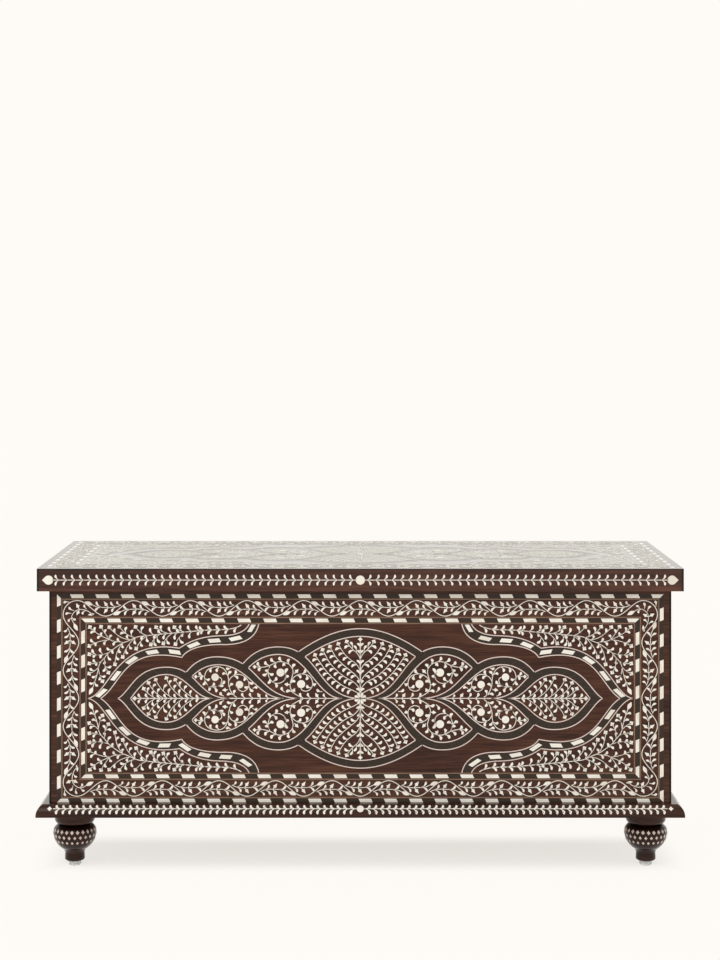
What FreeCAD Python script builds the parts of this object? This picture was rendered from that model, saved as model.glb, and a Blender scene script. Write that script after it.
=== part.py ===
import FreeCAD
import Part
import Sketcher
import math
import os

# Bone inlay trunk: a box on four turned feet with a hinged lid, inlaid on the front, sides and top.
# Frame in millimetres: X to the right along the front, Y to the back, Z up from the floor.

vector = FreeCAD.Vector
doc = FreeCAD.newDocument("BoneInlayTrunk")
sheet = doc.addObject("Spreadsheet::Sheet", "Sizes")

driving_sizes = {
    # box
    "carcass_length": 1063,
    "carcass_depth": 431.5,
    "wall": 20,
    "bottom_thickness": 18,
    "bottom_lap": 10,
    "block_side": 37,
    "block_height": 60,
    # lid
    "lid_overhang": 18.5,
    "lid_height": 38.5,
    "rail_width": 64,
    "lid_panel_thickness": 18,
    "lid_panel_lap": 10,
    "batten_width": 50,
    "batten_height": 18,
    "batten_spacing": 500,
    # base moulding
    "moulding_reach": 20.5,
    "moulding_height": 20.8,
    "moulding_flat": 10,
    "moulding_nose": 2.5,
    # turned feet
    "foot_height": 94,
    "foot_inset": 38.5,
    "collar_radius": 34.5,
    "collar_height": 13,
    "neck_radius": 26.3,
    "neck_rise": 71.5,
    "belly_radius": 37,
    "belly_rise": 57.5,
    "calf_radius": 20.5,
    "calf_rise": 28.5,
    "calf_cove": 14,
    "ankle_radius": 16.8,
    "ankle_rise": 22,
    "toe_radius": 17.3,
    "toe_rise": 11,
    "heel_radius": 12.5,
    "toe_round": 6,
    "collar_round": 9,
    "glide_height": 7.5,
    "glide_radius": 10.8,
    "glide_round": 1.5,
    "stud_radius": 4,
    "stud_in_foot": 40,
    "stud_in_block": 30,
    "stud_gap": 0.1,
    # butt hinges
    "hinge_length": 76,
    "hinge_inset": 141.5,
    "leaf_width": 17,
    "leaf_thickness": 2,
    "leaf_gap": 0.3,
    "barrel_radius": 4,
    "barrel_gap": 0.5,
    "pin_radius": 2.2,
    "pin_clearance": 0.08,
    "knuckle_gap": 0.3,
    "screw_head_radius": 3.6,
    "screw_head_height": 1.6,
    "screw_radius": 1.8,
    "screw_length": 14,
    "screw_spacing": 27,
    # folding stays
    "stay_pivot_forward": 58,
    "stay_pivot_drop": 165,
    "stay_lid_forward": 170,
    "stay_lid_drop": 12,
    "arm_width": 14,
    "arm_thickness": 2.5,
    "stay_plate": 2,
    "stay_gap": 0.4,
    "stay_pin_radius": 3,
    "stay_pin_clearance": 0.08,
    "stay_head_radius": 5,
    "stay_head_height": 1.2,
    "stay_plate_length": 46,
    "stay_foot_width": 15,
    # inlay
    "inlay_depth": 2,
    "front_margin": 12.2,
    "front_field_height": 254,
    "tiles_above_moulding": 0.7,
    "tiles_below_lid": 7.4,
    "side_margin": 12.2,
    "top_margin": 12.2,
    "band_width": 6.4,
    "band_edge": 1,
    "line_width": 2,
    "vine_width": 29,
    "dash_length": 21.3,
    "dash_pitch": 43.8,
    "dash_lead": 22.3,
    "dash_slant": 2.8,
    "short_medallion_gap": 6,
}
for row, alias in enumerate(driving_sizes, 1):
    sheet.set(f"A{row}", alias)
    sheet.set(f"B{row}", str(driving_sizes[alias]))
    sheet.setAlias(f"B{row}", alias)
doc.recompute()

# sizes that follow: the box is as tall as its inlaid field, the borders and what is left above and below
border_sides = "border_reach - band_edge + front_field_height / 2"
following_sizes = {
    "border_reach": "4 * band_edge + 2 * band_width + 3 * line_width + vine_width",
    "front_field_centre": f"moulding_height + tiles_above_moulding + {border_sides}",
    "carcass_height": f"front_field_centre + {border_sides} + tiles_below_lid",
}
for row, alias in enumerate(following_sizes, len(driving_sizes) + 1):
    sheet.set(f"A{row}", alias)
    sheet.set(f"B{row}", f"={following_sizes[alias]}")
    sheet.setAlias(f"B{row}", alias)
    doc.recompute()


def number(expression):
    return float(sheet.evalExpression(expression))


def size(alias):
    return float(sheet.get(alias))


# places shared by several parts
total_depth = "(Sizes.moulding_reach + Sizes.carcass_depth + Sizes.barrel_gap + 2 * Sizes.barrel_radius)"
front_face = f"(Sizes.moulding_reach - {total_depth} / 2)"
back_face = f"({front_face} + Sizes.carcass_depth)"
half_length = "(Sizes.carcass_length / 2)"
carcass_middle = f"({front_face} + Sizes.carcass_depth / 2)"
parting = "(Sizes.foot_height + Sizes.carcass_height)"
lid_length = "(Sizes.carcass_length + 2 * Sizes.lid_overhang)"
lid_depth = "(Sizes.carcass_depth + Sizes.lid_overhang)"
lid_front = f"({front_face} - Sizes.lid_overhang)"
lid_middle = f"({lid_front} + {lid_depth} / 2)"
lid_top = f"({parting} + Sizes.lid_height)"
axis_offset = "(Sizes.barrel_gap + Sizes.barrel_radius)"
axis_y = f"({back_face} + {axis_offset})"


def block(name, length, width, height, x, y, z):
    plank = doc.addObject("Part::Box", name)
    plank.setExpression("Length", length)
    plank.setExpression("Width", width)
    plank.setExpression("Height", height)
    plank.setExpression("Placement.Base.x", x)
    plank.setExpression("Placement.Base.y", y)
    plank.setExpression("Placement.Base.z", z)
    return plank


turns = {"x": (vector(0, 1, 0), 90), "y": (vector(1, 0, 0), -90), "z": (vector(0, 0, 1), 0)}


def rod(name, radius, length, x, y, z, along="z"):
    cylinder = doc.addObject("Part::Cylinder", name)
    cylinder.setExpression("Radius", radius)
    cylinder.setExpression("Height", length)
    cylinder.Placement = FreeCAD.Placement(vector(0, 0, 0), FreeCAD.Rotation(*turns[along]))
    cylinder.setExpression("Placement.Base.x", x)
    cylinder.setExpression("Placement.Base.y", y)
    cylinder.setExpression("Placement.Base.z", z)
    return cylinder


def taper(name, start_radius, end_radius, length, x, y, z, along="z"):
    cone = doc.addObject("Part::Cone", name)
    cone.setExpression("Radius1", start_radius)
    cone.setExpression("Radius2", end_radius)
    cone.setExpression("Height", length)
    cone.Placement = FreeCAD.Placement(vector(0, 0, 0), FreeCAD.Rotation(*turns[along]))
    cone.setExpression("Placement.Base.x", x)
    cone.setExpression("Placement.Base.y", y)
    cone.setExpression("Placement.Base.z", z)
    return cone


def cut(name, base, tool):
    result = doc.addObject("Part::Cut", name)
    result.Base = base
    result.Tool = tool
    return result


def join(name, pieces):
    result = doc.addObject("Part::MultiFuse", name)
    result.Shapes = pieces
    return result


def group(name, pieces):
    result = doc.addObject("Part::Compound", name)
    result.Links = pieces
    return result


def origin_plane(body, role):
    for feature in body.Origin.OriginFeatures:
        if feature.Role == role:
            return feature


def sketch_on(body, role, name, offset=None):
    sketch = body.newObject("Sketcher::SketchObject", name)
    sketch.AttachmentSupport = [(origin_plane(body, role), "")]
    sketch.MapMode = "FlatFace"
    if offset:
        sketch.setExpression("AttachmentOffset.Base.z", offset)
    return sketch


def bind(sketch, kind, arguments, expression, name):
    index = sketch.addConstraint(Sketcher.Constraint(kind, *arguments, number(expression)))
    sketch.renameConstraint(index, name)
    sketch.setExpression(f"Constraints.{name}", expression)


def hold_point(sketch, edge, end, x, y, name):
    if x == "0":
        sketch.addConstraint(Sketcher.Constraint("PointOnObject", edge, end, -2))
    else:
        bind(sketch, "DistanceX", (-1, 1, edge, end), x, f"{name}_x")
    if y == "0":
        sketch.addConstraint(Sketcher.Constraint("PointOnObject", edge, end, -1))
    else:
        bind(sketch, "DistanceY", (-1, 1, edge, end), y, f"{name}_y")


def outline(sketch, corners, arcs=None):
    # a closed outline; arcs maps an edge number to (radius, side), side 1 with the centre on the left;
    # a half circle gives the place of its centre along X as a third value
    arcs = arcs or {}
    first = sketch.GeometryCount
    count = len(corners)
    points = [vector(number(x), number(y), 0) for x, y in corners]
    ends = []
    for step in range(count):
        start = points[step]
        finish = points[(step + 1) % count]
        if step not in arcs:
            edge = sketch.addGeometry(Part.LineSegment(start, finish))
            ends.append((edge, 1, 2))
            continue
        radius_expression, side = arcs[step][:2]
        radius = number(radius_expression)
        chord = finish - start
        across = vector(-chord.y, chord.x, 0).normalize()
        reach = math.sqrt(max(radius * radius - chord.Length * chord.Length / 4, 0))
        centre = (start + finish) / 2 + across * reach * side
        start_angle = math.atan2(start.y - centre.y, start.x - centre.x)
        finish_angle = math.atan2(finish.y - centre.y, finish.x - centre.x)
        circle = Part.Circle(centre, vector(0, 0, 1), radius)
        if side > 0:
            edge = sketch.addGeometry(Part.ArcOfCircle(circle, start_angle, finish_angle))
            ends.append((edge, 1, 2))
        else:
            edge = sketch.addGeometry(Part.ArcOfCircle(circle, finish_angle, start_angle))
            ends.append((edge, 2, 1))
    for step in range(count):
        edge, start_end, finish_end = ends[step]
        following = ends[(step + 1) % count]
        sketch.addConstraint(Sketcher.Constraint("Coincident", edge, finish_end, following[0], following[1]))
    for step in range(count):
        hold_point(sketch, ends[step][0], ends[step][1], *corners[step], f"corner_{first + step}")
    for step in arcs:
        if len(arcs[step]) == 2:
            bind(sketch, "Radius", (ends[step][0],), arcs[step][0], f"radius_{first + step}")
        elif arcs[step][2] == "0":
            sketch.addConstraint(Sketcher.Constraint("PointOnObject", ends[step][0], 3, -2))
        else:
            bind(sketch, "DistanceX", (-1, 1, ends[step][0], 3), arcs[step][2], f"centre_{first + step}")


def ring(sketch, x, y, radius, name):
    circle = Part.Circle(vector(number(x), number(y), 0), vector(0, 0, 1), number(radius))
    edge = sketch.addGeometry(circle)
    hold_point(sketch, edge, 3, x, y, name)
    bind(sketch, "Radius", (edge,), radius, f"{name}_radius")


def pad(body, sketch, name, length, reverse=False):
    feature = body.newObject("PartDesign::Pad", name)
    feature.Profile = sketch
    feature.setExpression("Length", length)
    feature.Reversed = reverse
    return feature


def pocket(body, sketch, name, length, reverse=False):
    feature = body.newObject("PartDesign::Pocket", name)
    feature.Profile = sketch
    feature.setExpression("Length", length)
    feature.Reversed = reverse
    return feature


def turned(name, corners, arcs=None):
    # a body turned about its own upright axis, from a half profile of radius and height
    body = doc.addObject("PartDesign::Body", name)
    sketch = sketch_on(body, "XZ_Plane", f"{name}_profile")
    outline(sketch, corners, arcs)
    feature = body.newObject("PartDesign::Revolution", f"{name}_turning")
    feature.Profile = sketch
    feature.ReferenceAxis = (sketch, ["V_Axis"])
    feature.Angle = 360
    return body


nodes = []


def keep(part, label):
    part.Label = label
    nodes.append(part)
    return part


def place(part, x, y, z, angle=0):
    part.Placement = FreeCAD.Placement(vector(0, 0, 0), FreeCAD.Rotation(vector(0, 0, 1), angle))
    part.setExpression("Placement.Base.x", x)
    part.setExpression("Placement.Base.y", y)
    part.setExpression("Placement.Base.z", z)


# Inlay patterns, drawn flat with u to the right and v up from the middle of each field.
# The medallions are leaf shapes: left tip, crown and right tip, drawn for the front field.
rise_handles = {"inner": ((0.27, 0.535), (0.535, 1.0)), "outer": ((0.263, 0.234), (0.348, 1.0))}
fall_handles = {"inner": ((0.47, 1.0), (0.61, 0.0)), "outer": ((0.516, 1.0), (0.476, 0.0))}
centre_handles = {"inner": ((0.243, 0.417), (0.622, 1.0)), "outer": ((0.261, 0.373), (0.602, 1.0))}
medallions = {
    "tip": {"inner": (-392.5, -332, 40.8, -253.2), "outer": (-414, -331, 53.3, -223.5)},
    "second": {"inner": (-316, -243, 57.5, -131.8), "outer": (-329.7, -245, 71, -102.7)},
    "third": {"inner": (-229, -139.7, 75.2, -31.8), "outer": (-242.6, -140, 88, -1)},
    "centre": {"inner": (-176, 0, 106, 176), "outer": (-200, 0, 119.2, 200)},
}
# the corner bands run from the middle of each end to the long border, in curves of four points
corner_outer = (
    ((-465.5, 0), (-428, 6), (-421, 104), (-308.8, 85.8)),
    ((-308.8, 85.8), (-292, 98), (-270, 106.5), (-238, 107)),
    ((-238, 107), (-212, 107.5), (-196, 114), (-190, 127)),
)
# the drawing fills its field from this gap at the ends up to the long border
drawn_end_gap = 2
drawn_half_width = drawn_end_gap - corner_outer[0][0][0]
drawn_half_height = corner_outer[-1][-1][1]
corner_inner = (
    ((-443.9, 0), (-407.7, 22.4), (-406.8, 91.4), (-304.8, 70)),
    ((-304.8, 70), (-298, 83), (-274, 93), (-230, 92)),
    ((-230, 92), (-198, 92.5), (-178, 104), (-173.6, 127)),
)


def curve(points):
    bezier = Part.BezierCurve()
    bezier.setPoles([vector(u, v, 0) for u, v in points])
    return bezier.toShape()


def leaf_points(left, crown_u, crown_v, right, start_handles, end_handles):
    rise_u = crown_u - left
    fall_u = right - crown_u
    rise = [(left, 0)]
    for part_u, part_v in start_handles:
        rise.append((left + part_u * rise_u, part_v * crown_v))
    rise.append((crown_u, crown_v))
    fall = [(crown_u, crown_v)]
    for part_u, part_v in end_handles:
        fall.append((crown_u + part_u * fall_u, part_v * crown_v))
    fall.append((right, 0))
    return rise, fall


def leaf_face(points, stretch_u, stretch_v):
    edges = []
    for flip in (1, -1):
        for chain in points:
            edges.append(curve([(u * stretch_u, v * stretch_v * flip) for u, v in chain]))
    return Part.Face(Part.Wire(Part.__sortEdges__(edges)))


def medallion_face(name, line, stretch_u, stretch_v, mirror=1):
    left, crown_u, crown_v, right = medallions[name][line]
    if name == "centre":
        rise, fall = leaf_points(left, crown_u, crown_v, right, centre_handles[line], fall_handles[line])
        fall = [(-u, v) for u, v in reversed(rise)]
    else:
        rise, fall = leaf_points(left, crown_u, crown_v, right, rise_handles[line], fall_handles[line])
    return leaf_face((rise, fall), stretch_u * mirror, stretch_v)


def medallion_bands(names, stretch_u, stretch_v):
    # each band lies over the one behind it, from the tips to the middle
    depth = size("inlay_depth")
    solids = []
    covered = None
    for name in names:
        for mirror in (1, -1):
            if name == "centre" and mirror == -1:
                continue
            outer = medallion_face(name, "outer", stretch_u, stretch_v, mirror)
            inner = medallion_face(name, "inner", stretch_u, stretch_v, mirror)
            band = outer.cut(inner)
            if covered is not None:
                band = band.cut(covered)
            for face in band.Faces:
                if face.Area > 60:
                    solids.append(face.extrude(vector(0, 0, -depth)))
        for mirror in (1, -1):
            outer = medallion_face(name, "outer", stretch_u, stretch_v, mirror)
            covered = outer if covered is None else covered.fuse(outer)
    return solids


def corner_bands(stretch_u, stretch_v):
    depth = size("inlay_depth")
    solids = []
    for flip_u in (1, -1):
        for flip_v in (1, -1):
            def turned_points(points):
                return [(u * stretch_u * flip_u, v * stretch_v * flip_v) for u, v in points]
            edges = [curve(turned_points(points)) for points in corner_outer + corner_inner]
            starts = turned_points((corner_outer[0][0], corner_inner[0][0]))
            finishes = turned_points((corner_outer[-1][3], corner_inner[-1][3]))
            for near, far in (starts, finishes):
                edges.append(Part.makeLine(vector(*near, 0), vector(*far, 0)))
            face = Part.Face(Part.Wire(Part.__sortEdges__(edges)))
            solids.append(face.extrude(vector(0, 0, -depth)))
    return solids


def prism(points):
    depth = size("inlay_depth")
    corners = []
    for u, v in points:
        corner = vector(u, v, 0)
        if not corners or (corner - corners[-1]).Length > 0.2:
            corners.append(corner)
    if (corners[0] - corners[-1]).Length < 0.2:
        corners.pop()
    if len(corners) < 3:
        return None
    return Part.Face(Part.makePolygon(corners + corners[:1])).extrude(vector(0, 0, -depth))


def dash_tiles(half_width, half_height, ends):
    # bone dashes and dark tiles by turns round a mitred border, with dark starts and ends as given
    band = size("band_width")
    lean = size("dash_slant")
    dash = size("dash_length")
    bone = []
    dark = []
    for quarter in range(4):
        along = half_width if quarter % 2 == 0 else half_height
        across = half_height if quarter % 2 == 0 else half_width
        run = 2 * along
        lead, tail = ends[quarter]
        count = round((run - lead - tail - dash) / size("dash_pitch"))
        pitch = (run - lead - tail - dash) / count
        spans = [(dark, 0, lead), (dark, run - tail, run)]
        for step in range(count + 1):
            first = lead + step * pitch
            spans.append((bone, first, first + dash))
            if step < count:
                spans.append((dark, first + dash, first + pitch))
        for tiles, start, finish in spans:
            if finish - start < 1:
                continue
            corners = []
            for place_along in (start, finish):
                corners.append((min(max(place_along, 0), run) - along, across))
            for place_along in (finish, start):
                inner = place_along + lean
                if place_along < 0.1:
                    inner = band
                if place_along > run - 0.1:
                    inner = run - band
                corners.append((min(max(inner, band), run - band) - along, across - band))
            angle = math.pi / 2 * quarter
            turned_corners = []
            for u, v in corners:
                turned_u = u * math.cos(angle) - v * math.sin(angle)
                turned_v = u * math.sin(angle) + v * math.cos(angle)
                turned_corners.append((turned_u, turned_v))
            tile = prism(turned_corners)
            if tile:
                tiles.append(tile)
    return bone, dark


def border_bed(half_width, half_height):
    band = size("band_width")
    depth = size("inlay_depth")
    outside = Part.makeBox(2 * half_width, 2 * half_height, depth, vector(-half_width, -half_height, -depth))
    half_width -= band
    half_height -= band
    inside = Part.makeBox(2 * half_width, 2 * half_height, depth, vector(-half_width, -half_height, -depth))
    return outside.cut(inside)


def inlay(label, solids, seat):
    part = doc.addObject("Part::Feature", label)
    part.Shape = Part.makeCompound(solids)
    part.Placement = seat
    return part


border_reach = size("border_reach")
facing_front = FreeCAD.Rotation(vector(1, 0, 0), 90)
field_rise = number("Sizes.foot_height + Sizes.front_field_centre")
seats = {
    "front": FreeCAD.Placement(vector(0, number(front_face), field_rise), facing_front),
    "left": FreeCAD.Placement(
        vector(-number(half_length), number(carcass_middle), field_rise),
        FreeCAD.Rotation(vector(0, 0, 1), -90).multiply(facing_front)),
    "right": FreeCAD.Placement(
        vector(number(half_length), number(carcass_middle), field_rise),
        FreeCAD.Rotation(vector(0, 0, 1), 90).multiply(facing_front)),
    "lid": FreeCAD.Placement(vector(0, number(lid_middle), number(lid_top)), FreeCAD.Rotation()),
}
fields = {
    "front": (number(half_length) - size("front_margin") - border_reach, size("front_field_height") / 2),
    "side": (size("carcass_depth") / 2 - size("side_margin") - border_reach, size("front_field_height") / 2),
    "lid": (
        number(lid_length) / 2 - size("top_margin") - border_reach,
        number(lid_depth) / 2 - size("top_margin") - border_reach),
}


def face_inlay(face, field, names, corners=True):
    # one face's inlay: dashed borders, medallion bands and corner bands, with the beds they are let into
    half_width, half_height = fields[field]
    stretch_u = half_width / drawn_half_width
    stretch_v = half_height / drawn_half_height
    if not corners:
        stretch_u = (half_width - size("short_medallion_gap")) / -medallions[names[0]]["outer"][0]
    outer_reach = border_reach - size("band_edge")
    inner_reach = size("line_width") + size("band_edge") + size("band_width")
    outer = (half_width + outer_reach, half_height + outer_reach)
    inner = (half_width + inner_reach, half_height + inner_reach)
    seat = seats[face]
    lead = size("dash_lead")
    bone, dark = dash_tiles(*outer, ((lead, 0),) * 4)
    rim_bed = inlay(f"{face}_rim_bed", [border_bed(*outer)], seat)
    inner_bone, inner_dark = dash_tiles(*inner, ((0, 0), (lead, lead), (lead, 0), (lead, 0)))
    bone += inner_bone
    dark += inner_dark
    field_beds = [border_bed(*inner)]
    keep(inlay(f"{face}_border_bone", bone, seat), f"{face}_border_bone")
    keep(inlay(f"{face}_border_ebony", dark, seat), f"{face}_border_ebony")
    bands = medallion_bands(names, stretch_u, stretch_v)
    field_beds += bands
    keep(inlay(f"{face}_medallion_band", bands, seat), f"{face}_medallion_band")
    if corners:
        bands = corner_bands(stretch_u, stretch_v)
        field_beds += bands
        keep(inlay(f"{face}_corner_band", bands, seat), f"{face}_corner_band")
    return rim_bed, inlay(f"{face}_field_bed", field_beds, seat)


long_order = ("tip", "second", "third", "centre")
short_order = ("third", "centre")
front_rim_bed, front_field_bed = face_inlay("front", "front", long_order)
lid_rim_bed, lid_field_bed = face_inlay("lid", "lid", long_order)
left_rim_bed, left_field_bed = face_inlay("left", "side", short_order, False)
right_rim_bed, right_field_bed = face_inlay("right", "side", short_order, False)
end_rim_beds = doc.addObject("Part::Compound", "end_rim_beds")
end_rim_beds.Links = [left_rim_bed, right_rim_bed]

# hinge screws, shared by the leaves and the wood they hold
hinge_reach = f"({half_length} - Sizes.hinge_inset)"
hinge_places = [f"({step} * {hinge_reach})" for step in (-1, 0, 1)]
screw_y = f"({back_face} - Sizes.leaf_width / 2)"


def hinge_screws(label, side):
    screws = []
    for hinge, middle in enumerate(hinge_places):
        for step in (-1, 0, 1):
            name = f"{label}_{hinge}_{step + 1}"
            x = f"{middle} + {step} * Sizes.screw_spacing"
            if side > 0:
                head_z = f"{parting} + Sizes.leaf_gap / 2"
                shank_z = f"{head_z} + Sizes.screw_head_height"
                radii = ("Sizes.screw_head_radius", "Sizes.screw_radius")
            else:
                head_z = f"{parting} - Sizes.leaf_gap / 2 - Sizes.screw_head_height"
                shank_z = f"{head_z} - Sizes.screw_length"
                radii = ("Sizes.screw_radius", "Sizes.screw_head_radius")
            head = taper(f"{name}_head", *radii, "Sizes.screw_head_height", x, screw_y, head_z)
            shank = rod(f"{name}_shank", "Sizes.screw_radius", "Sizes.screw_length", x, screw_y, shank_z)
            screws.append(join(name, [head, shank]))
    return keep(group(label, screws), label)


box_screws = hinge_screws("hinge_box_screws", -1)
lid_screws = hinge_screws("hinge_lid_screws", 1)

# butt hinge leaves, each in its own frame on the pin axis
hinge_names = ("left", "middle", "right")


def hinge_leaf(label, side, own_knuckles, middle, screws):
    body = doc.addObject("PartDesign::Body", f"{label}_blank")
    plane_offset = f"{side} * Sizes.leaf_gap / 2"
    half = "Sizes.hinge_length / 2"
    inner_edge = f"-{axis_offset} - Sizes.leaf_width"
    plate = sketch_on(body, "XY_Plane", f"{label}_plate_outline", plane_offset)
    outline(plate, [
        (f"-{half}", inner_edge), (half, inner_edge),
        (half, f"-{axis_offset}"), (f"-{half}", f"-{axis_offset}")])
    pad(body, plate, f"{label}_plate", "Sizes.leaf_thickness", side < 0)
    for knuckle in own_knuckles:
        start = f"({knuckle} * Sizes.hinge_length / 5 - {half})"
        if knuckle > 0:
            start = f"({start} + Sizes.knuckle_gap / 2)"
        finish = f"({knuckle + 1} * Sizes.hinge_length / 5 - {half})"
        if knuckle < 4:
            finish = f"({finish} - Sizes.knuckle_gap / 2)"
        tab = sketch_on(body, "XY_Plane", f"{label}_tab_outline_{knuckle}", plane_offset)
        outline(tab, [
            (start, f"-{axis_offset} - 1"), (finish, f"-{axis_offset} - 1"), (finish, "0"), (start, "0")])
        pad(body, tab, f"{label}_tab_{knuckle}", "Sizes.leaf_thickness", side < 0)
        barrel = sketch_on(body, "YZ_Plane", f"{label}_barrel_outline_{knuckle}", start)
        ring(barrel, "0", "0", "Sizes.barrel_radius", "barrel")
        pad(body, barrel, f"{label}_barrel_{knuckle}", f"{finish} - {start}")
    bore = sketch_on(body, "YZ_Plane", f"{label}_bore_outline", "Sizes.hinge_length")
    clearance = "Sizes.pin_clearance" if side > 0 else "Sizes.pin_clearance / 4"
    ring(bore, "0", "0", f"Sizes.pin_radius + {clearance}", "bore")
    pocket(body, bore, f"{label}_bore", "2 * Sizes.hinge_length")
    place(body, middle, axis_y, parting)
    return keep(cut(label, body, screws), label), body


box_leaf_blanks = []
lid_leaf_blanks = []
for hinge, middle in zip(hinge_names, hinge_places):
    leaf, blank = hinge_leaf(f"hinge_box_leaf_{hinge}", -1, (0, 2, 4), middle, box_screws)
    box_leaf_blanks.append(blank)
    leaf, blank = hinge_leaf(f"hinge_lid_leaf_{hinge}", 1, (1, 3), middle, lid_screws)
    lid_leaf_blanks.append(blank)
hinge_pins = []
for hinge, middle in zip(hinge_names, hinge_places):
    start = f"{middle} - Sizes.hinge_length / 2"
    hinge_pins.append(rod(
        f"pin_{hinge}", "Sizes.pin_radius", "Sizes.hinge_length", start, axis_y, parting, "x"))
keep(group("hinge_pins", hinge_pins), "hinge_pins")


def gains(name, side):
    # recesses that take the hinge leaves
    recesses = []
    for hinge, middle in zip(hinge_names, hinge_places):
        deep = "(Sizes.leaf_gap / 2 + Sizes.leaf_thickness)"
        low = f"{parting}" if side > 0 else f"{parting} - {deep}"
        recesses.append(block(
            f"{name}_{hinge}", "Sizes.hinge_length", "Sizes.leaf_width", deep,
            f"{middle} - Sizes.hinge_length / 2", f"{back_face} - Sizes.leaf_width", low))
    return recesses


box_gains = group("box_gains", gains("box_gain", -1))
lid_gains = group("lid_gains", gains("lid_gain", 1))

# box: front and back run the full length, the ends fit between them
inside_length = "(Sizes.carcass_length - 2 * Sizes.wall)"
inside_depth = "(Sizes.carcass_depth - 2 * Sizes.wall)"
bottom_seat = block(
    "bottom_seat", f"{inside_length} + 2 * Sizes.bottom_lap", f"{inside_depth} + 2 * Sizes.bottom_lap",
    "Sizes.bottom_thickness", f"-({inside_length} / 2 + Sizes.bottom_lap)",
    f"{front_face} + Sizes.wall - Sizes.bottom_lap", "Sizes.foot_height")


def board(name, length, width, x, y):
    return block(name, length, width, "Sizes.carcass_height", x, y, "Sizes.foot_height")


front_board = board("front_board", "Sizes.carcass_length", "Sizes.wall", f"-{half_length}", front_face)
front_rebated = cut("front_rebated", front_board, bottom_seat)
front_bedded = cut("front_bedded", front_rebated, front_rim_bed)
front_edged = cut("front_edged", front_bedded, end_rim_beds)
keep(cut("front_panel", front_edged, front_field_bed), "front_panel")

back_board = board(
    "back_board", "Sizes.carcass_length", "Sizes.wall", f"-{half_length}", f"{back_face} - Sizes.wall")
back_rebated = cut("back_rebated", back_board, bottom_seat)
back_recessed = cut("back_recessed", back_rebated, box_gains)
back_edged = cut("back_edged", back_recessed, end_rim_beds)
keep(cut("back_panel", back_edged, box_screws), "back_panel")

# folding stays: pivots on the ends of the box and under the lid's side rails
pivot_y = f"({axis_y} - Sizes.stay_pivot_forward)"
pivot_z = f"({parting} - Sizes.stay_pivot_drop)"
lid_pivot_y = f"({axis_y} - Sizes.stay_lid_forward)"
lid_pivot_z = f"({parting} - Sizes.stay_lid_drop)"
elbow_y = f"({pivot_y} - Sizes.stay_lid_forward)"
elbow_z = f"({pivot_z} - Sizes.stay_lid_drop)"
wall_x = f"({half_length} - Sizes.wall)"
lower_outer = f"({wall_x} - Sizes.stay_plate - Sizes.stay_gap)"
lower_inner = f"({lower_outer} - Sizes.arm_thickness)"
upper_outer = f"({lower_inner} - Sizes.stay_gap)"
upper_inner = f"({upper_outer} - Sizes.arm_thickness)"
ear_outer = f"({upper_inner} - Sizes.stay_gap)"
ear_inner = f"({ear_outer} - Sizes.stay_plate)"


def across_x(hand, near, far):
    # the left end of a span that runs from near to far on the right side, or its mirror on the left
    return near if hand > 0 else f"-({far})"


def stay_rod(name, hand, radius, near, far, y, z):
    return rod(name, radius, f"{far} - {near}", across_x(hand, near, far), y, z, "x")


def stay_screw(name, hand, y, z):
    head_start = f"{wall_x} - Sizes.stay_plate"
    head_finish = f"{head_start} + Sizes.screw_head_height"
    radii = ("Sizes.screw_head_radius", "Sizes.screw_radius")
    if hand < 0:
        radii = (radii[1], radii[0])
    head = taper(
        f"{name}_head", *radii, "Sizes.screw_head_height", across_x(hand, head_start, head_finish), y, z, "x")
    shank_finish = f"{head_finish} + Sizes.screw_length"
    shank = stay_rod(f"{name}_shank", hand, "Sizes.screw_radius", head_finish, shank_finish, y, z)
    return join(name, [head, shank])


def arm(label, length, hand, near, far, start_y, start_z, angle, bore):
    # a flat bar with round ends, drawn along its own X from the pivot to the elbow
    body = doc.addObject("PartDesign::Body", label)
    sketch = sketch_on(body, "XY_Plane", f"{label}_outline")
    half = "Sizes.arm_width / 2"
    outline(
        sketch, [("0", f"-{half}"), (length, f"-{half}"), (length, half), ("0", half)],
        {1: (half, 1, length), 3: (half, 1, "0")})
    ring(sketch, "0", "0", bore[0], "pivot")
    ring(sketch, length, "0", bore[1], "elbow")
    pad(body, sketch, f"{label}_bar", "Sizes.arm_thickness")
    # local X turns to point forward, local Y up and local Z to the right
    upright = FreeCAD.Rotation(vector(0, -1, 0), vector(0, 0, 1), vector(-1, 0, 0), "ZXY")
    body.Placement = FreeCAD.Placement(
        vector(0, 0, 0), FreeCAD.Rotation(vector(1, 0, 0), -angle).multiply(upright))
    body.setExpression("Placement.Base.x", far if hand > 0 else f"-({near})")
    body.setExpression("Placement.Base.y", start_y)
    body.setExpression("Placement.Base.z", start_z)
    return body


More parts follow.
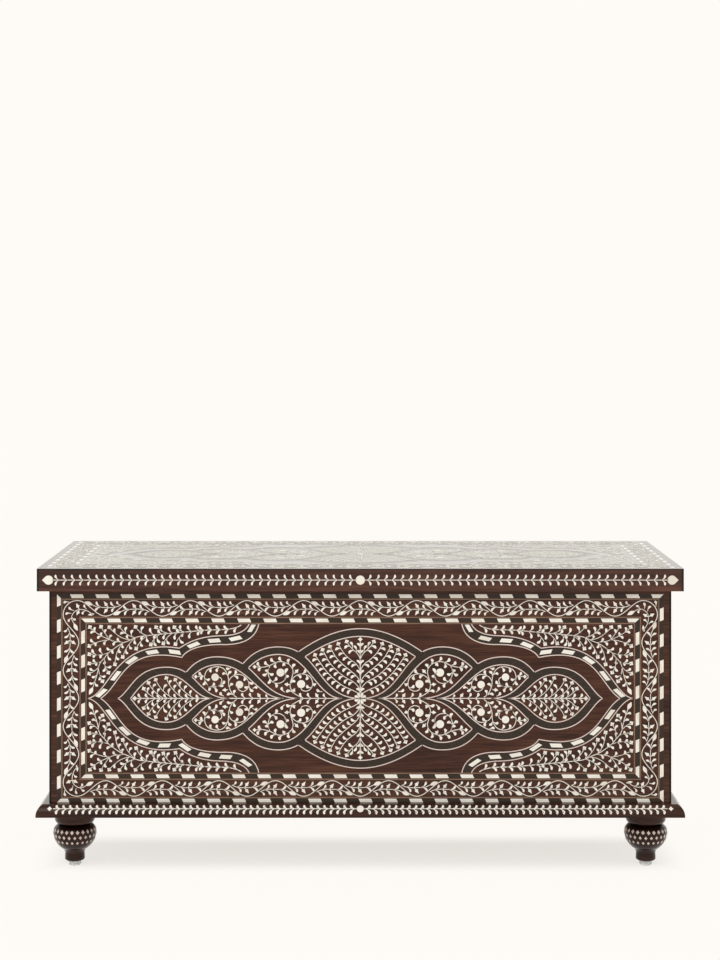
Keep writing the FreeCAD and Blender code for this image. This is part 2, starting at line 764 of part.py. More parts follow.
stay_box_screws = []
stay_lid_screws = []
lower_length = "sqrt(Sizes.stay_lid_forward ^ 2 + Sizes.stay_lid_drop ^ 2)"
upper_length = "sqrt(Sizes.stay_pivot_forward ^ 2 + Sizes.stay_pivot_drop ^ 2)"
lower_angle = math.degrees(math.atan2(-size("stay_lid_drop"), size("stay_lid_forward")))
upper_angle = math.degrees(math.atan2(-size("stay_pivot_drop"), size("stay_pivot_forward")))
running = "(Sizes.stay_pin_radius + Sizes.stay_pin_clearance)"
loose = "(Sizes.stay_pin_radius + 4 * Sizes.stay_pin_clearance)"
for hand, side in ((-1, "left"), (1, "right")):
    # box bracket: plate on the end panel with its pivot pin
    plate_bottom = f"{pivot_z} - Sizes.stay_plate_length / 2"
    plate = block(
        f"stay_box_plate_{side}", "Sizes.stay_plate", "Sizes.arm_width", "Sizes.stay_plate_length",
        across_x(hand, f"({wall_x} - Sizes.stay_plate)", wall_x), f"{pivot_y} - Sizes.arm_width / 2",
        plate_bottom)
    head_inner = f"({lower_inner} - Sizes.stay_gap - Sizes.stay_head_height)"
    head_outer = f"({lower_inner} - Sizes.stay_gap)"
    plate_face = f"({wall_x} - Sizes.stay_plate)"
    pin = stay_rod(
        f"stay_box_pin_{side}", hand, "Sizes.stay_pin_radius", head_outer, plate_face, pivot_y, pivot_z)
    head = stay_rod(
        f"stay_box_head_{side}", hand, "Sizes.stay_head_radius", head_inner, head_outer, pivot_y, pivot_z)
    screws = []
    for step in (-1, 1):
        screws.append(stay_screw(
            f"stay_box_screw_{side}_{step + 1}", hand, pivot_y,
            f"{pivot_z} + {step} * Sizes.stay_plate_length / 3"))
    stay_box_screws += screws
    bracket = join(f"stay_box_bracket_{side}_blank", [plate, pin, head])
    keep(cut(f"stay_box_bracket_{side}", bracket, group(f"stay_box_pair_{side}", screws)),
         f"stay_box_bracket_{side}")
    # lower arm carries the elbow pin
    lower_blank = arm(
        f"stay_lower_bar_{side}", lower_length, hand, lower_inner, lower_outer, pivot_y, pivot_z, lower_angle,
        (running, "Sizes.stay_pin_radius"))
    elbow_head_outer = f"({upper_inner} - Sizes.stay_gap)"
    elbow_head_inner = f"({elbow_head_outer} - Sizes.stay_head_height)"
    elbow_pin = stay_rod(
        f"stay_elbow_pin_{side}", hand, "Sizes.stay_pin_radius", elbow_head_outer, lower_outer,
        elbow_y, elbow_z)
    elbow_head = stay_rod(
        f"stay_elbow_head_{side}", hand, "Sizes.stay_head_radius", elbow_head_inner, elbow_head_outer,
        elbow_y, elbow_z)
    keep(join(f"stay_lower_arm_{side}", [lower_blank, elbow_pin, elbow_head]), f"stay_lower_arm_{side}")
    # upper arm turns on the lid bracket
    keep(arm(
        f"stay_upper_arm_{side}", upper_length, hand, upper_inner, upper_outer, lid_pivot_y, lid_pivot_z,
        upper_angle, (running, loose)), f"stay_upper_arm_{side}")
    # lid bracket: foot on the rail's underside and an ear hanging down inside
    foot_inner = f"({ear_outer} - Sizes.stay_foot_width)"
    foot = block(
        f"stay_lid_foot_{side}", "Sizes.stay_foot_width", "Sizes.stay_plate_length", "Sizes.stay_plate",
        across_x(hand, foot_inner, ear_outer), f"{lid_pivot_y} - Sizes.stay_plate_length / 2",
        f"{parting} - Sizes.stay_plate")
    ear = block(
        f"stay_lid_ear_{side}", "Sizes.stay_plate", "Sizes.arm_width",
        "Sizes.stay_lid_drop + Sizes.arm_width / 2", across_x(hand, ear_inner, ear_outer),
        f"{lid_pivot_y} - Sizes.arm_width / 2", f"{lid_pivot_z} - Sizes.arm_width / 2")
    lid_pin_far = f"({upper_outer} + Sizes.stay_gap / 2)"
    lid_pin = stay_rod(
        f"stay_lid_pin_{side}", hand, "Sizes.stay_pin_radius", ear_outer,
        lid_pin_far, lid_pivot_y, lid_pivot_z)
    lid_head = stay_rod(
        f"stay_lid_head_{side}", hand, "Sizes.stay_head_radius", lid_pin_far,
        f"({lid_pin_far} + Sizes.stay_head_height)", lid_pivot_y, lid_pivot_z)
    screws = []
    for step in (-1, 1):
        name = f"stay_lid_screw_{side}_{step + 1}"
        middle = f"({foot_inner} + {ear_inner}) / 2"
        x = middle if hand > 0 else f"-({middle})"
        y = f"{lid_pivot_y} + {step} * Sizes.stay_plate_length / 3"
        head_z = f"{parting} - Sizes.stay_plate"
        screw_head = taper(
            f"{name}_head", "Sizes.screw_head_radius", "Sizes.screw_radius", "Sizes.screw_head_height",
            x, y, head_z)
        shank = rod(
            f"{name}_shank", "Sizes.screw_radius", "Sizes.screw_length", x, y,
            f"{head_z} + Sizes.screw_head_height")
        screws.append(join(name, [screw_head, shank]))
    stay_lid_screws += screws
    bracket = join(f"stay_lid_bracket_{side}_blank", [foot, ear, lid_pin, lid_head])
    keep(cut(f"stay_lid_bracket_{side}", bracket, group(f"stay_lid_pair_{side}", screws)),
         f"stay_lid_bracket_{side}")
stay_box_screw_set = keep(group("stay_box_screws", stay_box_screws), "stay_box_screws")
stay_lid_screw_set = keep(group("stay_lid_screws", stay_lid_screws), "stay_lid_screws")

end_beds = {"left": (left_rim_bed, left_field_bed), "right": (right_rim_bed, right_field_bed)}
for hand, side in ((-1, "left"), (1, "right")):
    end_board = board(
        f"{side}_board", "Sizes.wall", inside_depth, across_x(hand, wall_x, half_length),
        f"{front_face} + Sizes.wall")
    end_rebated = cut(f"{side}_rebated", end_board, bottom_seat)
    end_bored = cut(f"{side}_bored", end_rebated, stay_box_screw_set)
    end_bedded = cut(f"{side}_bedded", end_bored, end_beds[side][0])
    keep(cut(f"{side}_panel", end_bedded, end_beds[side][1]), f"{side}_panel")

# bottom, corner blocks, feet, studs and glides
foot_x = f"({half_length} - Sizes.foot_inset)"
foot_front_y = f"({front_face} + Sizes.foot_inset)"
foot_back_y = f"({back_face} - Sizes.foot_inset)"
stud_length = "(Sizes.stud_in_foot + Sizes.bottom_thickness + Sizes.stud_in_block)"
stud_low = "(Sizes.foot_height - Sizes.stud_in_foot)"
corners = []
for depth_name, y in (("front", foot_front_y), ("back", foot_back_y)):
    for hand, side in ((-1, "left"), (1, "right")):
        corners.append((f"{depth_name}_{side}", foot_x if hand > 0 else f"-{foot_x}", y, hand, depth_name))
bores = []
for name, x, y, hand, depth_name in corners:
    bores.append(rod(
        f"stud_bore_{name}", "Sizes.stud_radius + Sizes.stud_gap", f"{stud_length} + Sizes.stud_gap",
        x, y, stud_low))
stud_bores = group("stud_bores", bores)
bottom_board = block(
    "bottom_board", f"{inside_length} + 2 * Sizes.bottom_lap", f"{inside_depth} + 2 * Sizes.bottom_lap",
    "Sizes.bottom_thickness", f"-({inside_length} / 2 + Sizes.bottom_lap)",
    f"{front_face} + Sizes.wall - Sizes.bottom_lap", "Sizes.foot_height")
keep(cut("bottom_panel", bottom_board, stud_bores), "bottom_panel")

block_parts = []
for name, x, y, hand, depth_name in corners:
    block_x = across_x(hand, f"({wall_x} - Sizes.block_side)", wall_x)
    block_y = f"{front_face} + Sizes.wall"
    if depth_name == "back":
        block_y = f"{back_face} - Sizes.wall - Sizes.block_side"
    block_parts.append(block(
        f"block_{name}", "Sizes.block_side", "Sizes.block_side", "Sizes.block_height", block_x, block_y,
        "Sizes.foot_height + Sizes.bottom_thickness"))
keep(cut("corner_blocks", group("block_set", block_parts), stud_bores), "corner_blocks")

studs = []
glides = []
collar_low = "(Sizes.foot_height - Sizes.collar_height)"
upper_belly = (
    "((Sizes.belly_radius - Sizes.neck_radius) ^ 2 + (Sizes.neck_rise - Sizes.belly_rise) ^ 2)"
    " / (2 * (Sizes.belly_radius - Sizes.neck_radius))")
lower_belly = (
    "((Sizes.belly_radius - Sizes.calf_radius) ^ 2 + (Sizes.belly_rise - Sizes.calf_rise) ^ 2)"
    " / (2 * (Sizes.belly_radius - Sizes.calf_radius))")
for name, x, y, hand, depth_name in corners:
    stud_bore = "(Sizes.stud_radius + Sizes.stud_gap)"
    foot = turned(f"foot_{name}", [
        ("0", "Sizes.glide_height"), ("Sizes.heel_radius", "Sizes.glide_height"),
        ("Sizes.toe_radius", "Sizes.toe_rise"), ("Sizes.ankle_radius", "Sizes.ankle_rise"),
        ("Sizes.calf_radius", "Sizes.calf_rise"), ("Sizes.belly_radius", "Sizes.belly_rise"),
        ("Sizes.neck_radius", "Sizes.neck_rise"), ("Sizes.collar_radius", collar_low),
        ("Sizes.collar_radius", "Sizes.foot_height"), (stud_bore, "Sizes.foot_height"),
        (stud_bore, stud_low), ("0", stud_low)],
        {1: ("Sizes.toe_round", 1), 3: ("Sizes.calf_cove", -1), 4: (lower_belly, 1), 5: (upper_belly, 1),
         6: ("Sizes.collar_round", 1)})
    place(foot, x, y, "0")
    keep(foot, f"foot_{name}")
    studs.append(rod(f"stud_{name}", "Sizes.stud_radius", stud_length, x, y, stud_low))
    glide_low = taper(
        f"glide_low_{name}", "Sizes.glide_radius - Sizes.glide_round", "Sizes.glide_radius",
        "Sizes.glide_round", x, y, "0")
    glide_high = rod(
        f"glide_high_{name}", "Sizes.glide_radius", "Sizes.glide_height - Sizes.glide_round", x, y,
        "Sizes.glide_round")
    glides.append(join(f"glide_{name}", [glide_low, glide_high]))
keep(group("foot_studs", studs), "foot_studs")
keep(group("foot_glides", glides), "foot_glides")

# base moulding: an ovolo round the front and both ends, mitred at the front corners
nose_drop = "(Sizes.moulding_height - Sizes.moulding_nose)"
nose_run = "(Sizes.moulding_reach - Sizes.moulding_flat)"
ovolo = f"({nose_run} ^ 2 + {nose_drop} ^ 2) / (2 * {nose_run})"


def moulding(label, length, start, mitre_start, mitre_finish):
    # a run along its own X, the back on the plane Y = 0, with 45 degree mitres where asked
    body = doc.addObject("PartDesign::Body", label)
    profile = sketch_on(body, "YZ_Plane", f"{label}_profile", start)
    outline(profile, [
        ("0", "0"), ("0", "Sizes.moulding_height"), ("-Sizes.moulding_flat", "Sizes.moulding_height"),
        ("-Sizes.moulding_reach", "Sizes.moulding_nose"), ("-Sizes.moulding_reach", "0")],
        {2: (ovolo, 1)})
    pad(body, profile, f"{label}_run", length)
    mitres = []
    if mitre_start:
        mitres.append([
            (f"{start} - 1", "1"), (f"{start} + Sizes.moulding_reach + 1", "1"),
            (f"{start} - 1", "-Sizes.moulding_reach - 1")])
    if mitre_finish:
        finish = f"({start} + {length})"
        mitres.append([
            (f"{finish} + 1", "1"), (f"{finish} + 1", "-Sizes.moulding_reach - 1"),
            (f"{finish} - Sizes.moulding_reach - 1", "1")])
    for step, corners_of_mitre in enumerate(mitres):
        sketch = sketch_on(body, "XY_Plane", f"{label}_mitre_outline_{step}", "2 * Sizes.moulding_height")
        outline(sketch, corners_of_mitre)
        pocket(body, sketch, f"{label}_mitre_{step}", "4 * Sizes.moulding_height")
    return body


side_run = "(Sizes.carcass_depth + Sizes.moulding_reach)"
front_run = "(Sizes.carcass_length + 2 * Sizes.moulding_reach)"
piece = moulding("base_moulding_front", front_run, f"-{front_run} / 2", True, True)
place(piece, "0", front_face, "Sizes.foot_height")
keep(piece, "base_moulding_front")
piece = moulding("base_moulding_right", side_run, "-Sizes.moulding_reach", True, False)
place(piece, half_length, front_face, "Sizes.foot_height", 90)
keep(piece, "base_moulding_right")
piece = moulding("base_moulding_left", side_run, "0", False, True)
place(piece, f"-{half_length}", back_face, "Sizes.foot_height", -90)
keep(piece, "base_moulding_left")


# lid: four mitred rails, a panel let into their upper edge and two battens under it
def rail(name, run):
    # a run along its own X with the outer edge on Y = 0, mitred at both ends, rebated on the inner top edge
    body = doc.addObject("PartDesign::Body", name)
    plan = sketch_on(body, "XY_Plane", f"{name}_plan")
    outline(plan, [
        (f"-{run} / 2", "0"), (f"{run} / 2", "0"),
        (f"{run} / 2 - Sizes.rail_width", "Sizes.rail_width"),
        (f"-{run} / 2 + Sizes.rail_width", "Sizes.rail_width")])
    pad(body, plan, f"{name}_stock", "Sizes.lid_height")
    ledge = sketch_on(body, "XY_Plane", f"{name}_ledge_plan", "Sizes.lid_height")
    outline(ledge, [
        (f"-{run} / 2", "Sizes.rail_width - Sizes.lid_panel_lap"),
        (f"{run} / 2", "Sizes.rail_width - Sizes.lid_panel_lap"),
        (f"{run} / 2", "Sizes.rail_width + 1"), (f"-{run} / 2", "Sizes.rail_width + 1")])
    pocket(body, ledge, f"{name}_ledge", "Sizes.lid_panel_thickness")
    return body


front_rail = rail("front_rail", lid_length)
place(front_rail, "0", lid_front, parting)
keep(cut("lid_front_rail", front_rail, lid_rim_bed), "lid_front_rail")
back_rail = rail("back_rail", lid_length)
place(back_rail, "0", back_face, parting, 180)
back_rail_recessed = cut("back_rail_recessed", back_rail, lid_gains)
back_rail_bored = cut("back_rail_bored", back_rail_recessed, lid_screws)
keep(cut("lid_back_rail", back_rail_bored, lid_rim_bed), "lid_back_rail")
for hand, side in ((-1, "left"), (1, "right")):
    side_rail = rail(f"{side}_rail", lid_depth)
    place(side_rail, f"{hand} * {lid_length} / 2", lid_middle, parting, 90 * hand)
    bored = cut(f"{side}_rail_bored", side_rail, stay_lid_screw_set)
    keep(cut(f"lid_{side}_rail", bored, lid_rim_bed), f"lid_{side}_rail")

panel_inset = "(Sizes.rail_width - Sizes.lid_panel_lap)"
lid_board = block(
    "lid_board", f"{lid_length} - 2 * {panel_inset}", f"{lid_depth} - 2 * {panel_inset}",
    "Sizes.lid_panel_thickness", f"-({lid_length} / 2 - {panel_inset})", f"{lid_front} + {panel_inset}",
    f"{lid_top} - Sizes.lid_panel_thickness")
keep(cut("lid_panel", lid_board, lid_field_bed), "lid_panel")
battens = []
for step in (-1, 1):
    battens.append(block(
        f"batten_{step + 1}", "Sizes.batten_width", f"{lid_depth} - 2 * Sizes.rail_width",
        "Sizes.batten_height", f"{step} * Sizes.batten_spacing / 2 - Sizes.batten_width / 2",
        f"{lid_front} + Sizes.rail_width", f"{lid_top} - Sizes.lid_panel_thickness - Sizes.batten_height"))
keep(group("lid_battens", battens), "lid_battens")

doc.recompute()
faults = []
for item in doc.Objects:
    if "Invalid" in item.State or "Error" in item.State:
        faults.append(f"{item.Name}: {item.State}")
    if hasattr(item, "Shape") and item in nodes:
        if item.Shape.isNull() or not item.Shape.isValid():
            faults.append(f"{item.Name}: shape")
if faults:
    raise RuntimeError("; ".join(faults))
os.makedirs("parts", exist_ok=True)
for part in nodes:
    part.Shape.exportStep(f"parts/{part.Label}.step")
print(len(nodes), "parts written")
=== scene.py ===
import bpy
import cmath
import math
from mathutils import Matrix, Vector


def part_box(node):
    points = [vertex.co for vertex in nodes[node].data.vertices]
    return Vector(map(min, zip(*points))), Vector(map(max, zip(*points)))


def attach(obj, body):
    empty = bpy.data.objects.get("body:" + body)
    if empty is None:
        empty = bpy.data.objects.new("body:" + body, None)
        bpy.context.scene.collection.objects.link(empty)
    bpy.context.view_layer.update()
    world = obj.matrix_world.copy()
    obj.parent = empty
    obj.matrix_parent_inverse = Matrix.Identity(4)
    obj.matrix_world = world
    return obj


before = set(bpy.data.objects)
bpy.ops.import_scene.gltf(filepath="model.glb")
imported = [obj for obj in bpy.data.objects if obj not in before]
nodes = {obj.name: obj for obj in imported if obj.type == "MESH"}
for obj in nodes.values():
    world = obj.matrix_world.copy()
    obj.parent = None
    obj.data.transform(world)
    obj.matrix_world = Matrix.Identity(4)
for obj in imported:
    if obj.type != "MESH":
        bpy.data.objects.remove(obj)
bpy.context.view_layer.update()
mm = 0.001
print("frame loaded:", len(nodes), "nodes")


class Shade:
    # a shader socket that can stand in a sum; socket is None for the tree itself
    def __init__(self, tree, socket=None):
        self.tree = tree
        self.socket = socket

    def fill(self, node, inputs):
        for key, value in inputs.items():
            if isinstance(value, Shade):
                self.tree.links.new(value.socket, node.inputs[key])
            else:
                node.inputs[key].default_value = value

    def node(self, kind, settings=None, inputs=None, output=0):
        made = self.tree.nodes.new(kind)
        for key, value in (settings or {}).items():
            if key == "stops":
                ramp = made.color_ramp.elements
                while len(ramp) < len(value):
                    ramp.new(0.5)
                for element, (place, colour) in zip(ramp, value):
                    element.position = place
                    element.color = (*colour, 1)
            else:
                setattr(made, key, value)
        self.fill(made, inputs or {})
        return Shade(self.tree, made.outputs[output])

    def sum(self, operation, first, second):
        return self.node("ShaderNodeMath", {"operation": operation}, {0: first, 1: second})

    def __add__(self, other):
        return self.sum("ADD", self, other)

    __radd__ = __add__

    def __sub__(self, other):
        return self.sum("SUBTRACT", self, other)

    def __rsub__(self, other):
        return self.sum("SUBTRACT", other, self)

    def __mul__(self, other):
        return self.sum("MULTIPLY", self, other)

    __rmul__ = __mul__

    def __abs__(self):
        return self.node("ShaderNodeMath", {"operation": "ABSOLUTE"}, {0: self})

    def larger(self, other):
        return self.sum("MAXIMUM", self, other)

    def coordinate(self, name):
        return self.node("ShaderNodeTexCoord", None, None, name)

    def axis(self, name):
        return self.node("ShaderNodeSeparateXYZ", None, {0: self}, name)

    def fade(self, start, end, low=0.0, high=1.0, curve="LINEAR"):
        inputs = {0: self, 1: start, 2: end, 3: low, 4: high}
        return self.node("ShaderNodeMapRange", {"interpolation_type": curve}, inputs)

    def noise(self, scale, detail, rough):
        place = self.node("ShaderNodeVectorMath", {"operation": "MULTIPLY"}, {0: self, 1: scale})
        inputs = {"Vector": place, "Scale": 1.0, "Detail": detail, "Roughness": rough}
        return self.node("ShaderNodeTexNoise", None, inputs, "Fac")

    def ramp(self, stops):
        return self.node("ShaderNodeValToRGB", {"stops": stops}, {"Fac": self}, "Color")

    def blend(self, first, second):
        inputs = {0: self, 6: first, 7: second}
        return self.node("ShaderNodeMix", {"data_type": "RGBA"}, inputs, 2)


def opaque(colour):
    return (*colour, 1)


def shaded(colour, depth):
    return tuple(part * depth for part in colour)


def newMaterial(name, look, colour=None):
    # layers of noise, each with its scale, detail and roughness,
    # share in the colour, the roughness and the bumps
    made = bpy.data.materials.new(name)
    made.use_nodes = True
    tree = Shade(made.node_tree)
    place = tree.coordinate("Object")
    layers = [place.noise(*layer) for layer in look["layers"]]

    def shared(key):
        return sum(layer * share for layer, share in zip(layers, look[key]) if share)

    inputs = dict(look.get("fixed", {}))
    if "index" in look:  # the coat has the index of the face under it
        inputs.update({
            "Coat Weight": look["coat"], "Coat Roughness": look["coatRough"], "Coat IOR": look["index"],
            "Coat Tint": opaque(look.get("tint", (1.0, 1.0, 1.0))), "IOR": look["index"]})
    inputs["Roughness"] = look["rough"] + shared("roughShares")
    if colour:
        inputs["Base Color"] = colour(tree, place, shared("colourShares"))
    if "bump" in look:
        strength, reach = look["bump"]
        bump = {"Strength": strength, "Distance": reach, "Height": shared("bumpShares")}
        inputs["Normal"] = tree.node("ShaderNodeBump", None, bump, "Normal")
    tree.fill(made.node_tree.nodes["Principled BSDF"], inputs)
    return made


brownLook = {
    "dark": (0.013, 0.0035, 0.0016), "mid": (0.054, 0.0178, 0.0092), "light": (0.11, 0.042, 0.0225),
    "stops": ((0.34, "dark"), (0.5, "mid"), (0.66, "light")),
    # the broad figure, the streaks and the pores
    "layers": (((5.0, 30.0, 46.0), 5, 0.6), ((11.0, 120.0, 210.0), 4, 0.62), ((26.0, 420.0, 640.0), 2, 0.5)),
    "colourShares": (0.34, 0.42, 0.24), "roughShares": (0, 0, 0.16), "bumpShares": (0, 0.4, 0.6),
    "bump": (0.07, 0.0005), "coat": 1.0, "coatRough": 0.05, "index": 1.2, "rough": 0.22,
    # how dark the painted shade is, and how much lighter a foot's collar is painted, as lit from above
    "shadow": 0.4, "collar": 1.6,
    # where a painted shade at an edge starts and ends, in metres in from the edge, and how much of it shows
    "arris": (0.0042, 0.0008, 0.82), "upper": (0.0385, 0.012, 0.3), "corner": (0.0042, 0.0026, 0.97),
    # the painted shade under a foot's collar: where it comes in and where it goes, in metres, and how much of
    # it shows
    "neckFoot": 0.005, "neckHead": 0.002, "neckShare": 0.8,
}


def brownWood(name, look, shade=1.0, arris=None, neck=None, ends=None):
    # arris is the height of a top edge with painted shade, neck the heights of a hollow with painted shade
    # under a collar with painted light, ends the half length of a front whose upright corners have painted
    # shade
    shadow = opaque(shaded(look["dark"], look["shadow"]))

    def towards(value, edge, key):
        start, end, share = look[key]
        return value.fade(edge - start, edge - end, 0.0, share)

    def colour(tree, place, mixed):
        def toned(depth):
            return mixed.ramp([(spot, shaded(look[key], depth)) for spot, key in look["stops"]])

        brown = toned(shade)
        if arris is not None:
            # painted shade along the top edge and down the upper part of the face, not on faces that look up
            rise, upward = place.axis("Z"), tree.coordinate("Normal").axis("Z")
            paintedShade = towards(rise, arris, "arris").larger(towards(rise, arris, "upper"))
            brown = (paintedShade * (1 - upward)).blend(brown, shadow)
        # painted shade at the upright corners of a front, on faces that look forward
        if ends is not None:
            forward = (0.0 - tree.coordinate("Normal").axis("Y")).larger(0.0)
            brown = (towards(abs(place.axis("X")), ends, "corner") * forward).blend(brown, shadow)
        # painted shade in the hollow under the collar, and painted light on the collar above it
        if neck is not None:
            rise = place.axis("Z")
            lower = rise.fade(neck[0], neck[0] + look["neckFoot"], 0.0, look["neckShare"])
            upper = rise.fade(neck[1] - look["neckHead"], neck[1], 1.0, 0.0)
            brown = upper.blend(toned(shade * look["collar"]), brown)
            brown = (lower * upper).blend(brown, shadow)
        return brown

    return newMaterial(name, look, colour)


boneLook = {
    "tints": (
        (0.0, (0.74, 0.67, 0.58)), (0.3, (0.87, 0.83, 0.755)),
        (0.7, (0.85, 0.82, 0.73)), (1.0, (0.79, 0.725, 0.655))),
    "layers": (((90.0, 420.0, 420.0), 4, 0.6),), "grey": 0.78,
    "colourShares": (0.35,), "roughShares": (0.2,), "bumpShares": (1,), "bump": (0.05, 0.0003),
    "coat": 1.0, "coatRough": 0.08, "index": 1.22, "rough": 0.26,
}
threadShade = (0.86, 0.75, 0.76)
# the bone on the feet is painted darker, as in shade
footPaintedShade = (0.8, 0.7, 0.69)


def polishedBone(name, look, shade=(1.0, 1.0, 1.0)):
    stops = [(spot, tuple(a * b for a, b in zip(tint, shade))) for spot, tint in look["tints"]]
    grey = opaque(shaded(stops[2][1], look["grey"]))

    def colour(tree, _, mixed):
        piece = tree.node("ShaderNodeNewGeometry", None, None, "Random Per Island")
        return mixed.blend(piece.ramp(stops), grey)

    return newMaterial(name, look, colour)


charcoalLook = {
    "dark": (0.017, 0.0112, 0.0078), "light": (0.047, 0.0315, 0.0222),
    "layers": (((420.0, 420.0, 420.0), 4, 0.6), ((90.0, 90.0, 240.0), 3, 0.5)),
    "colourShares": (0.5, 0.5), "roughShares": (0, 0.18), "bumpShares": (1, 0), "bump": (0.05, 0.0003),
    "coat": 1.0, "coatRough": 0.05, "index": 1.2, "rough": 0.3,
}
tanLook = {
    "dark": (0.085, 0.041, 0.021), "light": (0.25, 0.14, 0.078), "layers": (((40.0, 40.0, 40.0), 3, 0.6),),
    "colourShares": (1,), "roughShares": (0.15,),
    "coat": 0.2, "coatRough": 0.2, "index": 1.5, "rough": 0.36,
}
woodLook = {
    "stops": ((0.32, (0.16, 0.085, 0.04)), (0.68, (0.34, 0.2, 0.11))),
    "layers": (((3.0, 26.0, 26.0), 6, 0.62), ((40.0, 500.0, 500.0), 2, 0.5)),
    "colourShares": (0.8, 0.2), "roughShares": (0, 0.2), "bumpShares": (0.4, 0.6), "bump": (0.12, 0.0005),
    "fixed": {"Coat Weight": 0.05}, "rough": 0.5,
}
metalLook = {  # tarnish and brush marks
    "layers": (((60.0, 60.0, 60.0), 3, 0.6), ((60.0, 900.0, 900.0), 3, 0.5)),
    "colourShares": (0.7, 0.3), "roughShares": (0.14, 0), "bumpShares": (0, 1), "bump": (0.04, 0.0002),
    "fixed": {"Metallic": 1.0},
}
brassLook = {**metalLook, "dark": (0.42, 0.28, 0.1), "light": (0.72, 0.53, 0.24), "rough": 0.24}
zincLook = {**metalLook, "dark": (0.36, 0.36, 0.37), "light": (0.62, 0.62, 0.63), "rough": 0.3}
plasticLook = {
    "layers": (((300.0, 300.0, 300.0), 3, 0.6),), "rough": 0.16,
    "roughShares": (0.3,), "bumpShares": (1,), "bump": (0.04, 0.0002),
    "fixed": {"Transmission Weight": 0.55, "IOR": 1.49, "Base Color": (0.82, 0.83, 0.82, 1)},
}


def twoTone(name, look, shade=1.0):
    dark, light = (opaque(shaded(look[key], shade)) for key in ("dark", "light"))
    return newMaterial(name, look, lambda tree, place, mixed: mixed.blend(dark, light))


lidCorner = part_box("lid_front_rail")[1]
footHollow = (0.0635, 0.0765)
brown = brownWood("brownGround", brownLook)
turnedBrown = brownWood("turnedBrown", brownLook, 0.62)
# the feet have painted shade in the hollow under the collar and painted light on the collar
footBrown = brownWood("footBrown", brownLook, 0.46, neck=footHollow)
# the lid's front rail is painted lighter, as lit from above, with painted shade along its top edge and at its
# corners
railBrown = brownWood("railBrown", {**brownLook, "index": 1.25}, 1.2, lidCorner[2], ends=lidCorner[0])
# the front panel has painted shade at its upright corners
frontBrown = brownWood("frontBrown", brownLook, ends=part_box("front_panel")[1][0])
charcoal = twoTone("charcoalBand", charcoalLook)
seam = twoTone("bandSeam", charcoalLook, 2.4)
bone = polishedBone("polishedBone", boneLook)
boneThread = polishedBone("boneThread", boneLook, threadShade)
# a darker copy of the bone, as painted shade on the feet
footBone = polishedBone("footBone", boneLook, footPaintedShade)
tan = twoTone("tanString", tanLook)
bareWood = newMaterial("plainWood", woodLook, lambda tree, place, mixed: mixed.ramp(woodLook["stops"]))
brass = twoTone("agedBrass", brassLook)
zinc = twoTone("zincSteel", zincLook)
plastic = newMaterial("clearPlastic", plasticLook)
# the top is polished more than the upright faces
topPolish = {"index": 1.37, "tint": (0.97, 1.0, 0.96)}
topBoneLook = {**boneLook, **topPolish, "rough": 0.08}
topBrown = brownWood("topBrown", {**brownLook, **topPolish, "rough": 0.14})
topCharcoal = twoTone("topCharcoal", {**charcoalLook, **topPolish, "rough": 0.32})
topBone = polishedBone("topBone", topBoneLook)
topThread = polishedBone("topThread", topBoneLook, threadShade)
topTan = twoTone("topString", {**tanLook, **topPolish, "coat": 1.0, "coatRough": 0.05})


def nodeMaterial(name):
    onLid = name.startswith("lid_")
    if name.endswith("border_bone"):
        return topBone if onLid else bone
    if name.endswith(("border_ebony", "_band")):
        return topCharcoal if onLid else charcoal
    if name.startswith(("hinge", "stay")):
        return brass
    if name.startswith(("foot_front", "foot_back")):
        return footBrown
    if name.startswith("base_moulding"):
        return turnedBrown
    if onLid and name.endswith("_rail"):
        return railBrown
    if name in ("lid_battens", "corner_blocks", "bottom_panel"):
        return bareWood
    single = {"foot_studs": zinc, "foot_glides": plastic, "lid_panel": topBrown, "front_panel": frontBrown}
    return single.get(name, brown)


for name, part in nodes.items():
    part.data.materials.clear()
    part.data.materials.append(nodeMaterial(name))
print("materials on", len(nodes), "nodes")


# flat shapes are drawn in millimetres as complex numbers, real to the right and imaginary up,
# then laid on a face of the trunk
def stretched(point, stretch):
    return complex(point.real * stretch[0], point.imag * stretch[1])


def placed(spot, stretch):
    return stretched(complex(*spot), stretch)


def placedAll(spots, stretch=(1, 1)):
    return [placed(spot, stretch) for spot in spots]


def span(ray):
    return math.hypot(ray.real, ray.imag)


def unit(ray):
    return ray / (span(ray) or 1.0)


def cross(first, second):
    return (first.conjugate() * second).imag


def mirrored(points):
    return [-point.conjugate() for point in reversed(points)]


def lineLength(points):
    return sum(span(second - first) for first, second in zip(points, points[1:]))


def bezier(points, count=24):
    p, q, r, s = points
    drawn = []
    for step in range(count + 1):
        t = step / count
        drawn.append((1 - t) ** 3 * p + 3 * t * (1 - t) ** 2 * q + 3 * t * t * (1 - t) * r + t ** 3 * s)
    return drawn


def smooth(points, gap=1.2):
    # a rounded line through the points
    drawn = [points[0]]
    padded = [points[0], *points, points[-1]]
    for p, q, r, s in zip(padded, padded[1:], padded[2:], padded[3:]):
        slopeIn, slopeOut = (r - p) / 2, (s - q) / 2
        a = 2 * q - 2 * r + slopeIn + slopeOut
        b = 3 * r - 3 * q - 2 * slopeIn - slopeOut
        pieces = max(2, int(span(r - q) / gap))
        for piece in range(1, pieces + 1):
            t = piece / pieces
            drawn.append(a * t ** 3 + b * t * t + slopeIn * t + q)
    return drawn


def fine(points, gap=1.0):
    # the same line in short steps
    drawn = [points[0]]
    for first, second in zip(points, points[1:]):
        pieces = max(1, int(span(second - first) / gap))
        drawn += [first + (second - first) * (piece / pieces) for piece in range(1, pieces + 1)]
    return drawn


